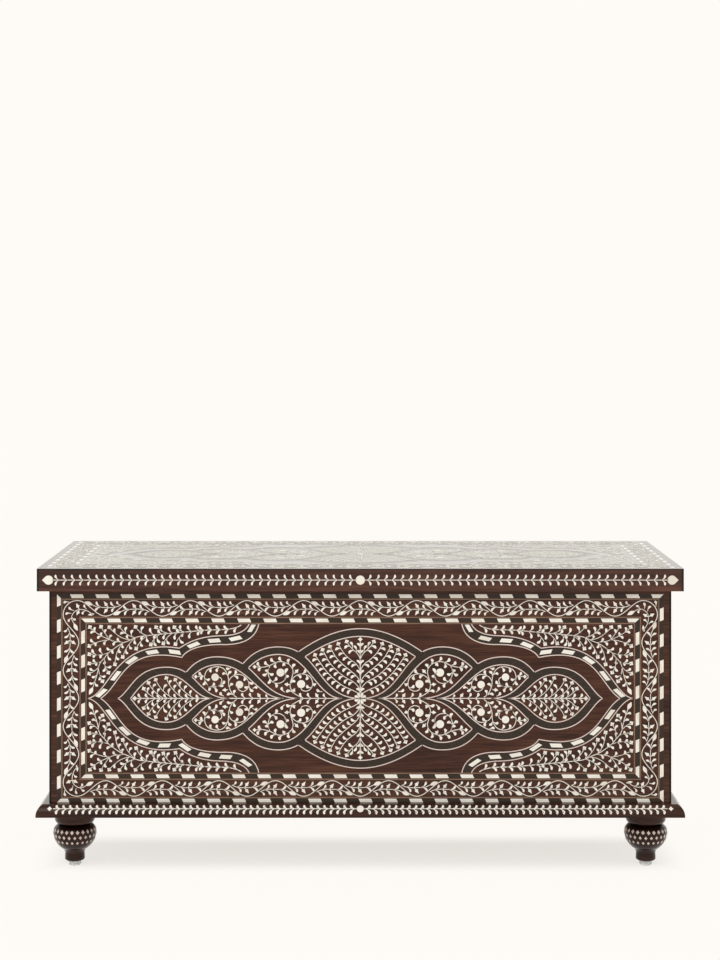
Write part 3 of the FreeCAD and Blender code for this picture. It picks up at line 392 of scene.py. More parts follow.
def along(points, place):
    # the point and direction at a distance along a line
    for first, second in zip(points, points[1:]):
        length = span(second - first)
        if place <= length and length > 0:
            return first + (second - first) * (place / length), (second - first) / length
        place -= length
    return points[-1], points[-1] - points[-2]


def placeStep(points, u):
    # the first point past u of a line that runs to the left
    return next((step for step, point in enumerate(points) if point.real <= u), len(points) - 1)


def strip(points, width, closed=False, taper=1.0):
    # a thread of even width, or one that narrows to its end
    left, right = [], []
    last = len(points) - 1
    for step, point in enumerate(points):
        before = points[step - 1] if closed or step > 0 else point
        after = points[(step + 1) % len(points)] if closed or step < last else point
        half = width / 2 * (1 + (taper - 1) * step / max(last, 1))
        side = 1j * unit(after - before) * half
        left.append(point + side)
        right.append(point - side)
    return {"left": left, "right": right, "closed": closed}


# outlines about a line: places along it and shares of the half width
comma = ((0, 0.22), (0.36, 0.27), (0.54, 0.62), (0.71, 1.0), (0.85, 0.94), (0.95, 0.56), (1.0, 0.0))
claw = (
    (0, 0.1), (0.16, 0.24), (0.34, 0.5), (0.54, 0.84), (0.7, 1.0), (0.85, 0.92), (0.95, 0.56), (1.0, 0.0))
petal = ((0, 0.24), (0.3, 0.62), (0.62, 1.0), (0.86, 0.8), (1.0, 0.0))
flower = ((0, 0.14), (0.28, 0.24), (0.4, 0.6), (0.46, 1.0), (0.6, 0.62), (0.78, 0.4), (1.0, 0.0))
drop = ((0, 0.12), (0.16, 0.55), (0.36, 0.95), (0.52, 1.0), (0.72, 0.7), (0.88, 0.32), (1.0, 0.0))


def profiled(base, head, width, profile, bend=0.0):
    ray = head - base
    normal = 1j * unit(ray)
    left, right = [], []
    for t, share in profile:
        middle = base + ray * t + normal * (bend * span(ray) * math.sin(math.pi * t))
        half = normal * (share * width / 2)
        left.append(middle + half)
        if share > 0:
            right.append(middle - half)
    return {"outline": left + right[::-1]}


budLook = {"waist": 0.64, "room": 0.85}
discLook = {"thin": 0.05, "open": 0.2, "point": 1.42}


def bud(middle, radius, angle=0.0):
    # a square bud with four points
    reaches = (radius, radius * budLook["waist"]) * 4
    turns = [angle + math.pi / 4 * step for step in range(8)]
    return {"outline": [middle + cmath.rect(reach, turn) for reach, turn in zip(reaches, turns)]}


def disc(middle, radius, count=20):
    return {"outline": [middle + cmath.rect(radius, 2 * math.pi * step / count) for step in range(count)]}


def slicedDisc(middle, radius, count=12):
    # a disc in thin slices, for a face that bends
    left, right = [], []
    for step in range(count + 1):
        turn = math.pi * step / count
        half = max(radius * math.sin(turn), discLook["thin"])
        rise = middle - 1j * radius * math.cos(turn)
        left.append(rise - half)
        right.append(rise + half)
    return {"left": left, "right": right, "closed": False}


def pointedDisc(middle, radius, side, count=20):
    # a disc with one point, towards -side
    outline = []
    for step in range(count + 1):
        turn = math.pi * (discLook["open"] + 2 * (1 - discLook["open"]) * step / count)
        outline.append(middle + complex(-side * radius * math.cos(turn), radius * math.sin(turn)))
    outline.append(middle - side * radius * discLook["point"])
    return {"outline": outline}


def moved(shape, change):
    made = dict(shape)
    for key in shape.keys() - {"closed"}:
        made[key] = [change(point) for point in shape[key]]
    return made


def flipped(shapes, signU, signV):
    return [moved(shape, lambda point: stretched(point, (signU, signV))) for shape in shapes]


def fourWays(shapes):
    return [piece for signU in (1, -1) for signV in (1, -1) for piece in flipped(shapes, signU, signV)]


def bothLeaves(upper, onAxis):
    # the upper half of a leaf, mirrored below its axis and then to the other end of the face
    whole = upper + flipped(upper, 1, -1) + onAxis
    return whole + flipped(whole, -1, 1)


def inside(point, outline):
    u, v = point.real, point.imag
    hit = False
    for a, b in zip(outline, outline[1:] + outline[:1]):
        if (a.imag > v) != (b.imag > v):
            hit ^= u < (b.real - a.real) * (v - a.imag) / (b.imag - a.imag) + a.real
    return hit


groundLook = {"cell": 6.0, "edge": 0.8, "axis": 1.0, "gap": 1.5}
leafLook = {
    "heart": 0.8, "least": 0.45, "tip": 0.3, "neck": 0.6, "past": 1.28,
    "bend": 0.14, "clawBend": 0.18, "tilt": 14,
    "root": 0.5, "back": 8.4, "leastBack": 2.5, "nearer": 0.5,  # how far back along its stem a leaf leaves it
}


class Ground:
    # keeps the leaves on one part of a face apart, within an outline and out of the shapes that lie over it
    def __init__(self, edge, covers=()):
        self.edge = edge
        self.covers = covers
        self.taken = {}
        self.shapes = []
        for outline in (edge, *covers):
            self.mark(outline + outline[:1], groundLook["edge"])

    def cell(self, point):
        return int(point.real // groundLook["cell"]), int(point.imag // groundLook["cell"])

    def mark(self, points, radius):
        for spot in fine(points, groundLook["gap"]):
            self.taken.setdefault(self.cell(spot), []).append((spot, radius))

    def clear(self, point, radius):
        if not inside(point, self.edge) or any(inside(point, cover) for cover in self.covers):
            return False
        column, row = self.cell(point)
        for du in (-1, 0, 1):
            for dv in (-1, 0, 1):
                for spot, size in self.taken.get((column + du, row + dv), ()):
                    if span(spot - point) < radius + size:
                        return False
        return True

    def stem(self, points, width=0.95, taper=1.0):
        self.shapes.append(strip(points, width, False, taper))
        self.mark(points, width / 2)

    def disc(self, middle, radius):
        self.shapes.append(disc(middle, radius))
        self.mark([middle, middle], radius)

    def bud(self, middle, radius, angle=0.0):
        self.shapes.append(bud(middle, radius, angle))
        self.mark([middle, middle], radius * budLook["room"])

    def leaf(self, base, direction, lengths, width, profile, bend, room=0.5):
        # the longest of the lengths that has room
        look = leafLook
        for length in lengths:
            scale = min(1.0, look["least"] + (1 - look["least"]) * length / lengths[0])
            head, heart = base + direction * length, base + direction * length * look["heart"]
            half = width * scale / 2
            if self.clear(heart, half + room) and self.clear(head, look["tip"] + room):
                self.shapes.append(profiled(base, head, width * scale, profile, bend))
                self.mark([heart, heart], half)
                self.mark([heart, head], half * look["neck"])
                return True
        return False

    def reach(self, head, stems, width, hand=0):
        # a leaf with its head at a spot, from the nearest stem that has the spot on the wanted hand
        found = []
        for row, points in enumerate(stems):
            for step, (point, ahead) in enumerate(zip(points, points[1:])):
                if cross(ahead - point, head - point) * hand >= 0:
                    found.append((span(head - point), row, step))
        reach, row, step = min(found)
        back = max(leafLook["leastBack"], leafLook["back"] - reach * leafLook["nearer"])
        base, ahead = along(stems[row], max(leafLook["root"], lineLength(stems[row][:step + 1]) - back))
        side = 1 if cross(ahead, head - base) > 0 else -1
        tip = base + (head - base) * leafLook["past"]
        self.shapes.append(profiled(base, tip, width, comma, -leafLook["bend"] * side))
        self.mark([head, head], width / 2)

    def dress(self, points, spacing, lean, lengths, start, skip, width, sides=(1, -1), profile=comma):
        # leaves along a stem from its tip back, their heads towards the tip
        bend = leafLook["bend" if profile is comma else "clawBend"]
        place = lineLength(points) - skip
        while place > start:
            spot, ahead = along(points, place)
            for side in sides:
                for tilt in (lean, lean + leafLook["tilt"], lean - leafLook["tilt"]):
                    ray = ahead * cmath.rect(1, math.radians(tilt) * side)
                    if self.leaf(spot, ray, lengths, width, profile, -bend * side):
                        break
            place -= spacing


branchSteps, outlineSteps, curveSteps = 12, 40, 26


def branch(base, tangent, tip, hold=0.5):
    # a side stem that leaves along its parent and bends to its bud
    reach = span(tip - base)
    turn = base + (tangent + (tip - base) / reach) / 2 * reach * hold
    return bezier((base, turn, (turn + tip * 2) / 3, tip), branchSteps)


# the medallion chain: leaf outlines given as left tip, crown and right tip
riseHandles = {"inner": ((0.27, 0.535), (0.535, 1.0)), "outer": ((0.263, 0.234), (0.348, 1.0))}
fallHandles = {"inner": ((0.47, 1.0), (0.61, 0.0)), "outer": ((0.516, 1.0), (0.476, 0.0))}
centreHandles = {"inner": ((0.243, 0.417), (0.622, 1.0)), "outer": ((0.261, 0.373), (0.602, 1.0))}
medallions = {
    "tip": {"inner": (-392.5, -332, 40.8, -253.2), "outer": (-414, -331, 53.3, -223.5)},
    "second": {"inner": (-316, -243, 57.5, -131.8), "outer": (-329.7, -245, 71, -102.7)},
    "third": {"inner": (-229, -139.7, 75.2, -31.8), "outer": (-242.6, -140, 88, -1)},
    "centre": {"inner": (-176, 0, 106, 176), "outer": (-200, 0, 119.2, 200)},
}
drawnHalf = (467.5, 127.0)


def halfOutline(name, line):
    # the upper half of a leaf, from its left tip over the crown to its right tip
    left, crownU, crownV, right = medallions[name][line]
    handles = ((0, 0), *(centreHandles if name == "centre" else riseHandles)[line], (1, 1))
    rise = [complex(left + u * (crownU - left), v * crownV) for u, v in handles]
    handles = ((0, 1), *fallHandles[line], (1, 0))
    fall = [complex(crownU + u * (right - crownU), v * crownV) for u, v in handles]
    if name == "centre":
        fall = mirrored(rise)
    return bezier(rise, outlineSteps) + bezier(fall, outlineSteps)[1:]


def medallionOutline(name, line, stretch):
    upper = [stretched(point, stretch) for point in halfOutline(name, line)]
    return upper + [point.conjugate() for point in reversed(upper[1:-1])]


def bothEnds(name, points):
    return [points] if name == "centre" else [points, mirrored(points)]


def uncovered(points, covers, ring=None):
    # the runs of a line that no outline lies over, and that don't cross the band of the ring
    runs = [[]]
    for point in points:
        crossing = ring and inside(point, ring[0]) and not inside(point, ring[1])
        if crossing or any(inside(point, cover) for cover in covers):
            runs.append([])
        else:
            runs[-1].append(point)
    return [run for run in runs if len(run) > 2]


threadWide = 1.6
jointLook = {"first": 5, "last": 156, "each": 7, "width": 0.45}  # counted in points of the outline


def medallionLines(names, stretch):
    shapes, covers = [], []
    rings = [[medallionOutline(name, line, stretch) for line in ("outer", "inner")] for name in names]
    for name, (outer, inner), follower in zip(names, rings, rings[1:] + [None]):
        for outline, ring in ((outer, follower), (inner, None)):
            for run in uncovered(fine(outline + outline[:1]), covers, ring):
                shapes += [strip(path, threadWide) for path in bothEnds(name, run)]
        covers += bothEnds(name, outer)
    return shapes


def bandJoints(names, stretch):
    # the butt joints between the pieces of a band
    shapes, covers = [], []
    for name in names:
        outer, inner = (medallionOutline(name, line, stretch) for line in ("outer", "inner"))
        for step in range(jointLook["first"], jointLook["last"], jointLook["each"]):
            joint = [outer[step % len(outer)], inner[(step + 1) % len(inner)]]
            if not any(inside(sum(joint) / 2, cover) for cover in covers):
                shapes += [strip(path, jointLook["width"]) for path in bothEnds(name, joint)]
        covers += bothEnds(name, outer)
    return shapes


tipLook = {
    "axis": (-262, -382), "axisWide": 1.5, "lead": -1 + 0.25j, "hold": 0.55, "root": 0.4,
    "bud": 4.2, "budTurn": 0.5, "leaf": 4.4, "endBud": 4.4, "endBudAt": -385.5,
}
tipSprays = (  # buds and the places on the axis that their stems leave from
    ((-370.1, 16.6), -350), ((-361.7, 26.4), -336.5), ((-349.5, 31.8), -321), ((-331.3, 34.7), -303),
    ((-316.1, 31.8), -284.5))
tipHeads = (  # heads of the leaves
    (-378.2, 6.3), (-366, 6.3), (-361.7, 16.7), (-353.8, 10.6), (-350.7, 22.8), (-343.8, 14.9),
    (-331.8, 21.6), (-325.7, 14.3), (-334.2, 6), (-345.8, 5.4), (-315.9, 21), (-308.2, 13), (-317.2, 6),
    (-306.8, 27.1), (-297.6, 19.8), (-289.1, 11.8), (-297.6, 5.7), (-279.3, 4.8), (-323.9, 29.3))


def tipFilling(stretch):
    look = tipLook
    ground = Ground(medallionOutline("tip", "inner", stretch))
    axis = [u * stretch[0] for u in look["axis"]]
    ground.mark(axis, groundLook["axis"])
    stems = []
    for spot, root in tipSprays:
        base = complex(root * stretch[0], look["root"])
        stem = branch(base, look["lead"], placed(spot, stretch), look["hold"])
        stems.append(stem)
        ground.stem(stem)
        ground.bud(stem[-1], look["bud"], look["budTurn"])
    parents = [fine(axis)] + [stem[:-2] for stem in stems]
    for spot in tipHeads:
        ground.reach(placed(spot, stretch), parents, look["leaf"], -1)
    endBud = bud(look["endBudAt"] * stretch[0], look["endBud"])
    return bothLeaves(ground.shapes, [strip(axis, look["axisWide"]), endBud])


scrollLook = {
    "stem": 1.2, "bud": 3.6, "flowers": (flower, 7.2, 0.0), "leaves": (comma, 5.0, 0.12),
    "axisWide": 1.5, "axisTaper": 0.7, "axisRoot": 0.5, "axisPitch": 13.2, "axisRay": -0.56 + 0.83j,
    "axisLengths": (10.5, 9, 7.5, 6), "axisRoom": 0.2,
    "axisRow": ((comma, 4.4, 0.14), (comma, 4.4, 0.14), (flower, 6.8, 0.0), (comma, 4.4, 0.14)),
}
scrolls = {
    "second": {
        "covers": "tip", "axis": (-224, -133), "axisLeaf": -196.6, "leafWidth": 4.9,
        "discs": ((-248.1, 36.2, 6.4), (-206.4, 23.5, 6.4)),
        "stems": (
            (
                (-211.3, 1.9), (-219.2, 8.7), (-224.5, 21.5), (-226, 37.2), (-231.9, 49), (-241.7, 54.0),
                (-254.5, 52.4), (-263.3, 46), (-266.2, 33.3), (-261.3, 23.4), (-256.4, 17.6)),
            ((-257.5, 19.6), (-246, 20.2), (-239, 24), (-236.8, 32.3), (-241.5, 36.6)),
            (
                (-225, 29.3), (-219.2, 37.2), (-207.4, 41.0), (-196.6, 36.6), (-190.2, 25.4),
                (-192.7, 16.6), (-200.5, 11.7), (-208.4, 15.6), (-209.5, 19)),
            ((-265.8, 38.5), (-272, 38), (-279, 37.4))),
        "buds": ((-281.0, 37.2),), "flowers": (((-226, 14.8), (-236.2, 14)),),
        "leaves": (
            ((-233, 3.6), (-240, 10.4)), ((-220.6, 53), (-229.6, 50.6)), ((-184, 17), (-175.6, 18.6)),
            ((-248, 18.8), (-233.6, 21.4))),
        "heads": (
            (-274.1, 43.4), (-271.7, 33.4), (-258.9, 32.7), (-267.9, 24.6), (-258.4, 15), (-246.6, 12.6),
            (-255.6, 46.4), (-244.7, 47), (-234.2, 41.7), (-233.3, 28.4), (-250.4, 25.1), (-225.7, 6.4),
            (-221.9, 44.6), (-213.4, 45.9), (-210.5, 34.8), (-198.2, 31.8), (-219, 24.1), (-196.3, 19.2),
            (-184.4, 26.4), (-184.6, 13.6), (-214.3, 12.4)),
    },
    "third": {
        "covers": "second", "axis": (-112, -33), "axisLeaf": -97.6, "leafWidth": 5.4,
        "discs": ((-136.3, 44.1, 6.9), (-101.1, 24.4, 6.9)),
        "stems": (
            (
                (-101.1, 1.9), (-112.9, 8.7), (-118.8, 16.6), (-119.7, 25.4), (-116.8, 36.2), (-114.8, 45),
                (-117.8, 53.9), (-126.6, 60.7), (-140, 62.6), (-154.4, 56.4), (-166, 53.4), (-177, 53.8)),
            (
                (-154.4, 56), (-157.6, 45), (-154.9, 34.2), (-147.6, 26.9), (-136.8, 26.4), (-128.4, 32.8),
                (-127.4, 41.1), (-131, 44)),
            (
                (-119.5, 24), (-115, 34.5), (-105, 41.0), (-93.3, 41.0), (-84.4, 35.2), (-81.5, 25.4),
                (-84.4, 16.6), (-92.3, 12.4), (-100.1, 14.4), (-101.5, 18.5))),
        "buds": ((-180.6, 53.9),),
        "flowers": (
            ((-112.6, 42.4), (-105.6, 50)), ((-127.4, 61.6), (-133.4, 55)), ((-120, 23.4), (-130, 24.4)),
            ((-116, 9), (-111.6, 17.6)), ((-82.6, 22), (-75, 25))),
        "leaves": (((-129.4, 10.6), (-135, 19.4)), ((-64.8, 11.6), (-75, 15))),
        "heads": (
            (-174.6, 60.1), (-161.8, 61.4), (-151.4, 66.8), (-137.4, 69), (-122.1, 65.6), (-112.6, 57),
            (-94.7, 47.4), (-172.8, 48.3), (-161, 47.6), (-164.9, 40.6), (-144.7, 53.8), (-150.2, 41.4),
            (-125.2, 48.6), (-124, 37.4), (-144.1, 34.4), (-156.5, 27.2), (-143.5, 20.6), (-124.6, 11.6),
            (-102.6, 36), (-91.6, 33.4), (-112.8, 29), (-90.6, 21)),
    },
}


def scrollFilling(name, stretch):
    look, drawn = scrollLook, scrolls[name]
    covers = [medallionOutline(drawn["covers"], "outer", stretch)]
    ground = Ground(medallionOutline(name, "inner", stretch), covers)
    axis = [u * stretch[0] for u in drawn["axis"]]
    ground.mark(axis, groundLook["axis"])
    for u, v, radius in drawn["discs"]:
        ground.disc(placed((u, v), stretch), radius)
    stems = [smooth(placedAll(spots, stretch)) for spots in drawn["stems"]]
    for stem in stems:
        ground.stem(stem, look["stem"])
    for spot in drawn["buds"]:
        ground.bud(placed(spot, stretch), look["bud"])
    for key in ("flowers", "leaves"):
        profile, width, bend = look[key]
        for pair in drawn[key]:
            base, top = placedAll(pair, stretch)
            ground.shapes.append(profiled(base, top, width, profile, bend))
            ground.mark([base, top], width / 2)
    for spot in drawn["heads"]:
        ground.reach(placed(spot, stretch), stems, drawn["leafWidth"])
    for step, (profile, width, bend) in enumerate(look["axisRow"]):
        base = complex((drawn["axisLeaf"] + look["axisPitch"] * step) * stretch[0], look["axisRoot"])
        ground.leaf(base, look["axisRay"], look["axisLengths"], width, profile, bend, look["axisRoom"])
    return bothLeaves(ground.shapes, [strip(axis, look["axisWide"], False, look["axisTaper"])])


fanSprays = (  # stems of the middle fan from its axis to their buds
    ((-0.4, 66), (-1.4, 70.5), (-5.4, 77.2), (-12.1, 83), (-19.4, 91.2), (-23.2, 97)),
    ((-0.4, 46), (-2.6, 52.6), (-8.3, 60), (-17.8, 67), (-27.3, 76.4), (-34.6, 87.4), (-37.5, 93.2)),
    (
        (-0.4, 24), (-1.8, 31), (-8.3, 40), (-17.8, 48), (-29.2, 57.4), (-40.6, 69), (-48.8, 82.6),
        (-51.8, 88.5)),
    (
        (-0.4, 12.5), (-3, 19.4), (-12.1, 28.6), (-25.4, 35.8), (-40.6, 48), (-53.8, 63), (-61.3, 77.6),
        (-64.4, 83)),
    (
        (-4, 9), (-12, 13.4), (-29.2, 21.4), (-44.4, 32.6), (-57.6, 46), (-67.1, 59), (-74.6, 70),
        (-77.3, 74.2)))
fanLeaves = (  # leaves between the stems and the axis
    ((-0.5, 9), (-6.6, 17.4)), ((-0.5, 21), (-5.2, 31)), ((-0.5, 38), (-6, 48.6)),
    ((-0.5, 55.5), (-5.8, 65.6)), ((-0.5, 73), (-4.6, 82.6)), ((-0.5, 85), (-5, 94.6)),
    ((-6.6, 78.6), (-10.8, 90.6)), ((-13.4, 85.4), (-17.2, 96.8)))
fanLook = {
    "axis": (9.5j, 98j), "axisWide": 1.4, "stem": 1.1, "bud": 4.3, "budTurn": 0.5,
    "endBud": 4.2, "endBudAt": 101j, "leaf": 4.2, "shorter": (1.0, 0.86, 0.72), "room": 0.2,
    "petals": 8, "petal": 5.2, "petalFrom": 2.0, "petalTo": 10.6,
}
fanDress = {
    "spacing": 9.8, "lean": 68, "lengths": (10.4, 9.6, 8.8, 8), "start": 11.0, "skip": 9.8, "width": 4.6,
    "sides": (1,), "profile": claw,
}


def fanFilling(stretch):
    look = fanLook
    covers = [medallionOutline("third", "outer", stretch)]
    ground = Ground(medallionOutline("centre", "inner", stretch), covers)
    axis = [look["axis"][0], look["axis"][1] * stretch[1]]
    ground.mark(axis, look["axisWide"] / 2)
    stems = [smooth(placedAll(spots, stretch)) for spots in fanSprays]
    for stem in stems:
        ground.stem(stem, look["stem"])
        ground.bud(stem[-1], look["bud"], look["budTurn"])
    for pair in fanLeaves:
        base, top = placedAll(pair, stretch)
        lengths = [span(top - base) * share for share in look["shorter"]]
        ground.leaf(base, unit(top - base), lengths, look["leaf"], comma, -leafLook["bend"], look["room"])
    for stem in reversed(stems):
        ground.dress(stem, **fanDress)
    upper = ground.shapes + flipped(ground.shapes, -1, 1)
    upper += [strip(axis, look["axisWide"]), bud(look["endBudAt"] * stretch[1], look["endBud"])]
    whole = upper + flipped(upper, 1, -1)
    for step in range(look["petals"]):
        ray = cmath.rect(1, 2 * math.pi / look["petals"] * (step + 0.5))
        whole.append(profiled(ray * look["petalFrom"], ray * look["petalTo"], look["petal"], petal))
    return whole


cornerOuter = (
    ((-465.5, 0), (-428, 6), (-421, 104), (-308.8, 85.8)),
    ((-308.8, 85.8), (-292, 98), (-270, 106.5), (-238, 107)),
    ((-238, 107), (-212, 107.5), (-196, 114), (-190, 127)),
)
cornerInner = (
    ((-443.9, 0), (-407.7, 22.4), (-406.8, 91.4), (-304.8, 70)),
    ((-304.8, 70), (-298, 83), (-274, 93), (-230, 92)),
    ((-230, 92), (-198, 92.5), (-178, 104), (-173.6, 127)),
)
cornerStem = (
    (-203.5, 125.5), (-210.3, 121.8), (-225, 118.3), (-244.6, 117.3), (-264.3, 116.6), (-293, 114),
    (-317.5, 111.8), (-342, 109.6), (-361.7, 107.6), (-381.3, 104.8), (-395.5, 98.6), (-408, 93.4),
    (-418.4, 86.8), (-429.4, 78.4), (-437.4, 69), (-443.8, 61.6), (-447.2, 54), (-448.6, 46), (-450.6, 38),
    (-454, 28), (-457, 19))
cornerSprays = (  # buds, and the places across where their stems leave the main one
    ((-317.7, 121.6), -298.4), ((-348.9, 121.6), -327.2), ((-384, 122), -364), ((-411.6, 122.4), -383.8),
    ((-428.9, 121.6), -392), ((-463, 75.4), -429), ((-463, 59.6), -442), ((-463.2, 42.3), -447),
    ((-315.8, 92.8), -298), ((-336.5, 93.9), -319), ((-357.8, 92), -341.6), ((-383, 85), -362),
    ((-405.9, 70.8), -383.8), ((-419.2, 58.2), -405.4), ((-430.5, 44.2), -436.3), ((-440.6, 29.4), -447))
cornerLimb = ((-404.5, 95.4), (-412, 96.6), (-421.8, 97.8), (-428, 100.4))
cornerHeads = (  # heads of the leaves, from the corner on
    (-453.3, 119.9), (-459.4, 112.2), (-442.4, 111.2), (-435, 116.3), (-447.8, 103.4), (-425.8, 107),
    (-459.4, 99.8), (-452.2, 91.1), (-436.8, 93.1), (-419.6, 117.3), (-408.3, 110.6), (-414.1, 101.6),
    (-399.7, 119.9), (-389.4, 114.8), (-398.2, 106.5), (-376.6, 113.4), (-421.3, 92.1), (-431.6, 85.4),
    (-444, 83.9), (-456.9, 81.8), (-455.3, 71), (-443.5, 70.4), (-455.3, 65.3), (-451.2, 57.4),
    (-460.5, 50.4), (-457.1, 37), (-446, 33), (-437.3, 38.1), (-405.4, 87.6), (-422.9, 78.2),
    (-410.5, 79.2), (-391.5, 85.9), (-384.3, 94.7), (-398.2, 77.7), (-413.6, 67.4), (-427.5, 67.4),
    (-438, 60.2), (-427.5, 54.5), (-438.8, 47.8), (-373, 90.4), (-373.6, 101.6), (-461, 26), (-449.6, 22.3),
    (-279.8, 122.6), (-293.7, 122.2), (-307.1, 122.8), (-312.8, 116.6), (-326.2, 120), (-340, 122.6),
    (-344.5, 115.4), (-358.3, 118), (-371.5, 120.8), (-276.9, 109.6), (-291.4, 105), (-303.7, 96.2),
    (-316.4, 102.9), (-304.2, 107), (-327.2, 94.7), (-335.6, 103), (-343.5, 97.3), (-351.9, 103.6),
    (-349.6, 91.8), (-363, 98.3))
limbSprays = (((-443, 122.4), -0.7 + 0.7j), ((-462, 121.8), -1 + 0.15j), ((-463, 89.4), -1 + 0.1j))
cornerLook = {
    "main": 1.4, "mainTaper": 0.8, "hold": 0.5, "limbHold": 0.6, "bud": 4.3, "budTurn": 0.6, "leaf": 4.6,
    "drop": -6.5 - 13j, "dropWide": 6.8, "dropHeart": -5 - 8j, "dropRoom": 3.2,
    "free": -402,  # left of this a leaf may come from either hand of a stem
    "dressFrom": -268,
}
cornerDress = {"spacing": 14.2, "lean": 36, "lengths": (12, 11, 10), "start": 4.0, "skip": 2.0, "width": 4.6}
dashLook = {
    "half": 9.8, "broad": 3.3, "lean": 1.8, "pitch": 36.5, "rest": 2,
    "rows": ((1, -10.5, 38.4), (-1, 9.0, 37.2)),  # upper or lower, offset from the notch, pitch before it
}


def cornerCurve(parts, stretch):
    drawn = []
    for spots in parts:
        drawn += bezier(placedAll(spots, stretch), curveSteps)[1 if drawn else 0:]
    return drawn


def cornerDashes(middle, start, lowPitch, pitch):
    # the dashes lie further apart before the notch than after it
    look = dashLook
    dashes = []
    total = lineLength(middle)
    place = start - lowPitch * int((start - look["half"] - look["rest"]) / lowPitch)
    while place < total - look["rest"]:
        first, _ = along(middle, place - look["half"])
        second, _ = along(middle, min(place + look["half"], total - 1))
        ahead = unit(second - first)
        side = 1j * ahead * look["broad"] - ahead * look["lean"]
        dashes.append({"outline": [first + side, first - side, second - side, second + side]})
        place += lowPitch if place < start - 1 else pitch
    return dashes


def cornerFilling(stretch):
    look = cornerLook
    outer, inner = cornerCurve(cornerOuter, stretch), cornerCurve(cornerInner, stretch)
    ground = Ground(outer + [placed((-drawnHalf[0], drawnHalf[1]), stretch)])
    main = smooth(placedAll(cornerStem, stretch))
    ground.stem(main, look["main"], look["mainTaper"])
    limb = smooth(placedAll(cornerLimb, stretch))
    sprays = []
    for spot, root in cornerSprays:
        place = lineLength(main[:placeStep(main, root * stretch[0]) + 1])
        sprays.append(branch(*along(main, place), placed(spot, stretch), look["hold"]))
    sprays += [branch(limb[-1], lead, placed(spot, stretch), look["limbHold"]) for spot, lead in limbSprays]
    for stem in [limb] + sprays:
        ground.stem(stem)
    for stem in sprays:
        ground.bud(stem[-1], look["bud"], look["budTurn"])
    ground.shapes.append(profiled(main[-1], main[-1] + look["drop"], look["dropWide"], drop))
    ground.mark([main[-1], main[-1] + look["dropHeart"]], look["dropRoom"])
    parents = [main, limb] + [stem[:-3] for stem in sprays]
    for spot in cornerHeads:
        top = placed(spot, stretch)
        above = top.imag > main[placeStep(main, top.real)].imag
        hand = 0 if spot[0] < look["free"] else -1 if above else 1
        ground.reach(top, parents, look["leaf"], hand)
    ground.dress(main[:placeStep(main, look["dressFrom"] * stretch[0])], **cornerDress)
    middle = [(a + b) / 2 for a, b in zip(outer, inner)]
    notch = lineLength(middle[:curveSteps + 1])
    scale = (stretch[0] + stretch[1]) / 2
    dashes = []
    for signV, offset, pitch in dashLook["rows"]:
        row = cornerDashes(middle, notch + offset, pitch * scale, dashLook["pitch"] * scale)
        dashes += flipped(row, 1, signV) + flipped(row, -1, signV)
    return fourWays(ground.shapes), fourWays([strip(outer, threadWide), strip(inner, threadWide)]), dashes


# the vine strip between the two dashed borders
vineLook = {
    "width": 29.0, "sway": 13.3, "wave": 97.0, "bend": 10.9, "thread": 1.25,
    "steps": 28, "bendSteps": 14, "lag": 2, "stem": 1.05, "gap": 1.5, "leaf": 3.9, "leafBend": 0.14,
    "flower": 6.8, "drop": 6.4, "dropLong": 14.5,
}
sprigParts = {
    "stem": ((28.3, 5.6), (20, 2.4), (12, 1.3), (0, 1.5), (-11.7, 2.2), (-20.5, 5.8)),
    "leaves": (((27.0, 5.4), (20.8, 12.0)), ((19.5, 2.4), (10.2, 11.2)), ((19.5, 2.2), (12.2, -6.2)),
               ((-5.5, 1.8), (-14.4, 11.6)), ((-5.5, 1.8), (-16.4, -4.4))),
    "flowers": (((6.5, 1.4), (-1.2, 12.0)), ((6.5, 1.4), (-1.2, -8.6))),
}
bendParts = {
    "stem": (
        (38.0, -11.4), (29.3, -5.0), (19.5, -2.2), (9.8, -3.2), (2.9, -10.0), (1.0, -17.9), (4.9, -25.7)),
    "leaves": (((27.0, -1.4), (22.3, 6.4)), ((25.0, -4.0), (19.0, -10.4)), ((5.0, -3.6), (-4.0, 2.2)),
               ((0.6, -9.0), (-9.6, -10.0)), ((1.4, -15.0), (8.4, -19.8)), ((0.6, -16.5), (-4.6, -23.2))),
    "flowers": (((14.2, -1.6), (9.0, 8.6)), ((14.8, -1.8), (9.6, -11.8))),
}
bendExtras = (  # a leaf outside the bend and a drop within it
    profiled(-3.0 + 10.6j, -13.0 + 9.6j, 4.2, comma, -0.1), profiled(40.0 - 9.4j, 28.6 - 11.4j, 4.2, drop))


def sprig(parts, look):
    stem = placedAll(parts["stem"])
    made = [strip(smooth(stem, look["gap"]), look["stem"])]
    for base, top in (placedAll(pair) for pair in parts["leaves"]):
        bend = look["leafBend"] if top.imag > base.imag else -look["leafBend"]
        made.append(profiled(base, top, look["leaf"], comma, bend))
    made += [profiled(*placedAll(pair), look["flower"], flower) for pair in parts["flowers"]]
    tip = stem[-1] + unit(stem[-1] - stem[-2]) * look["dropLong"]
    return made + [profiled(stem[-1], tip, look["drop"], drop)]


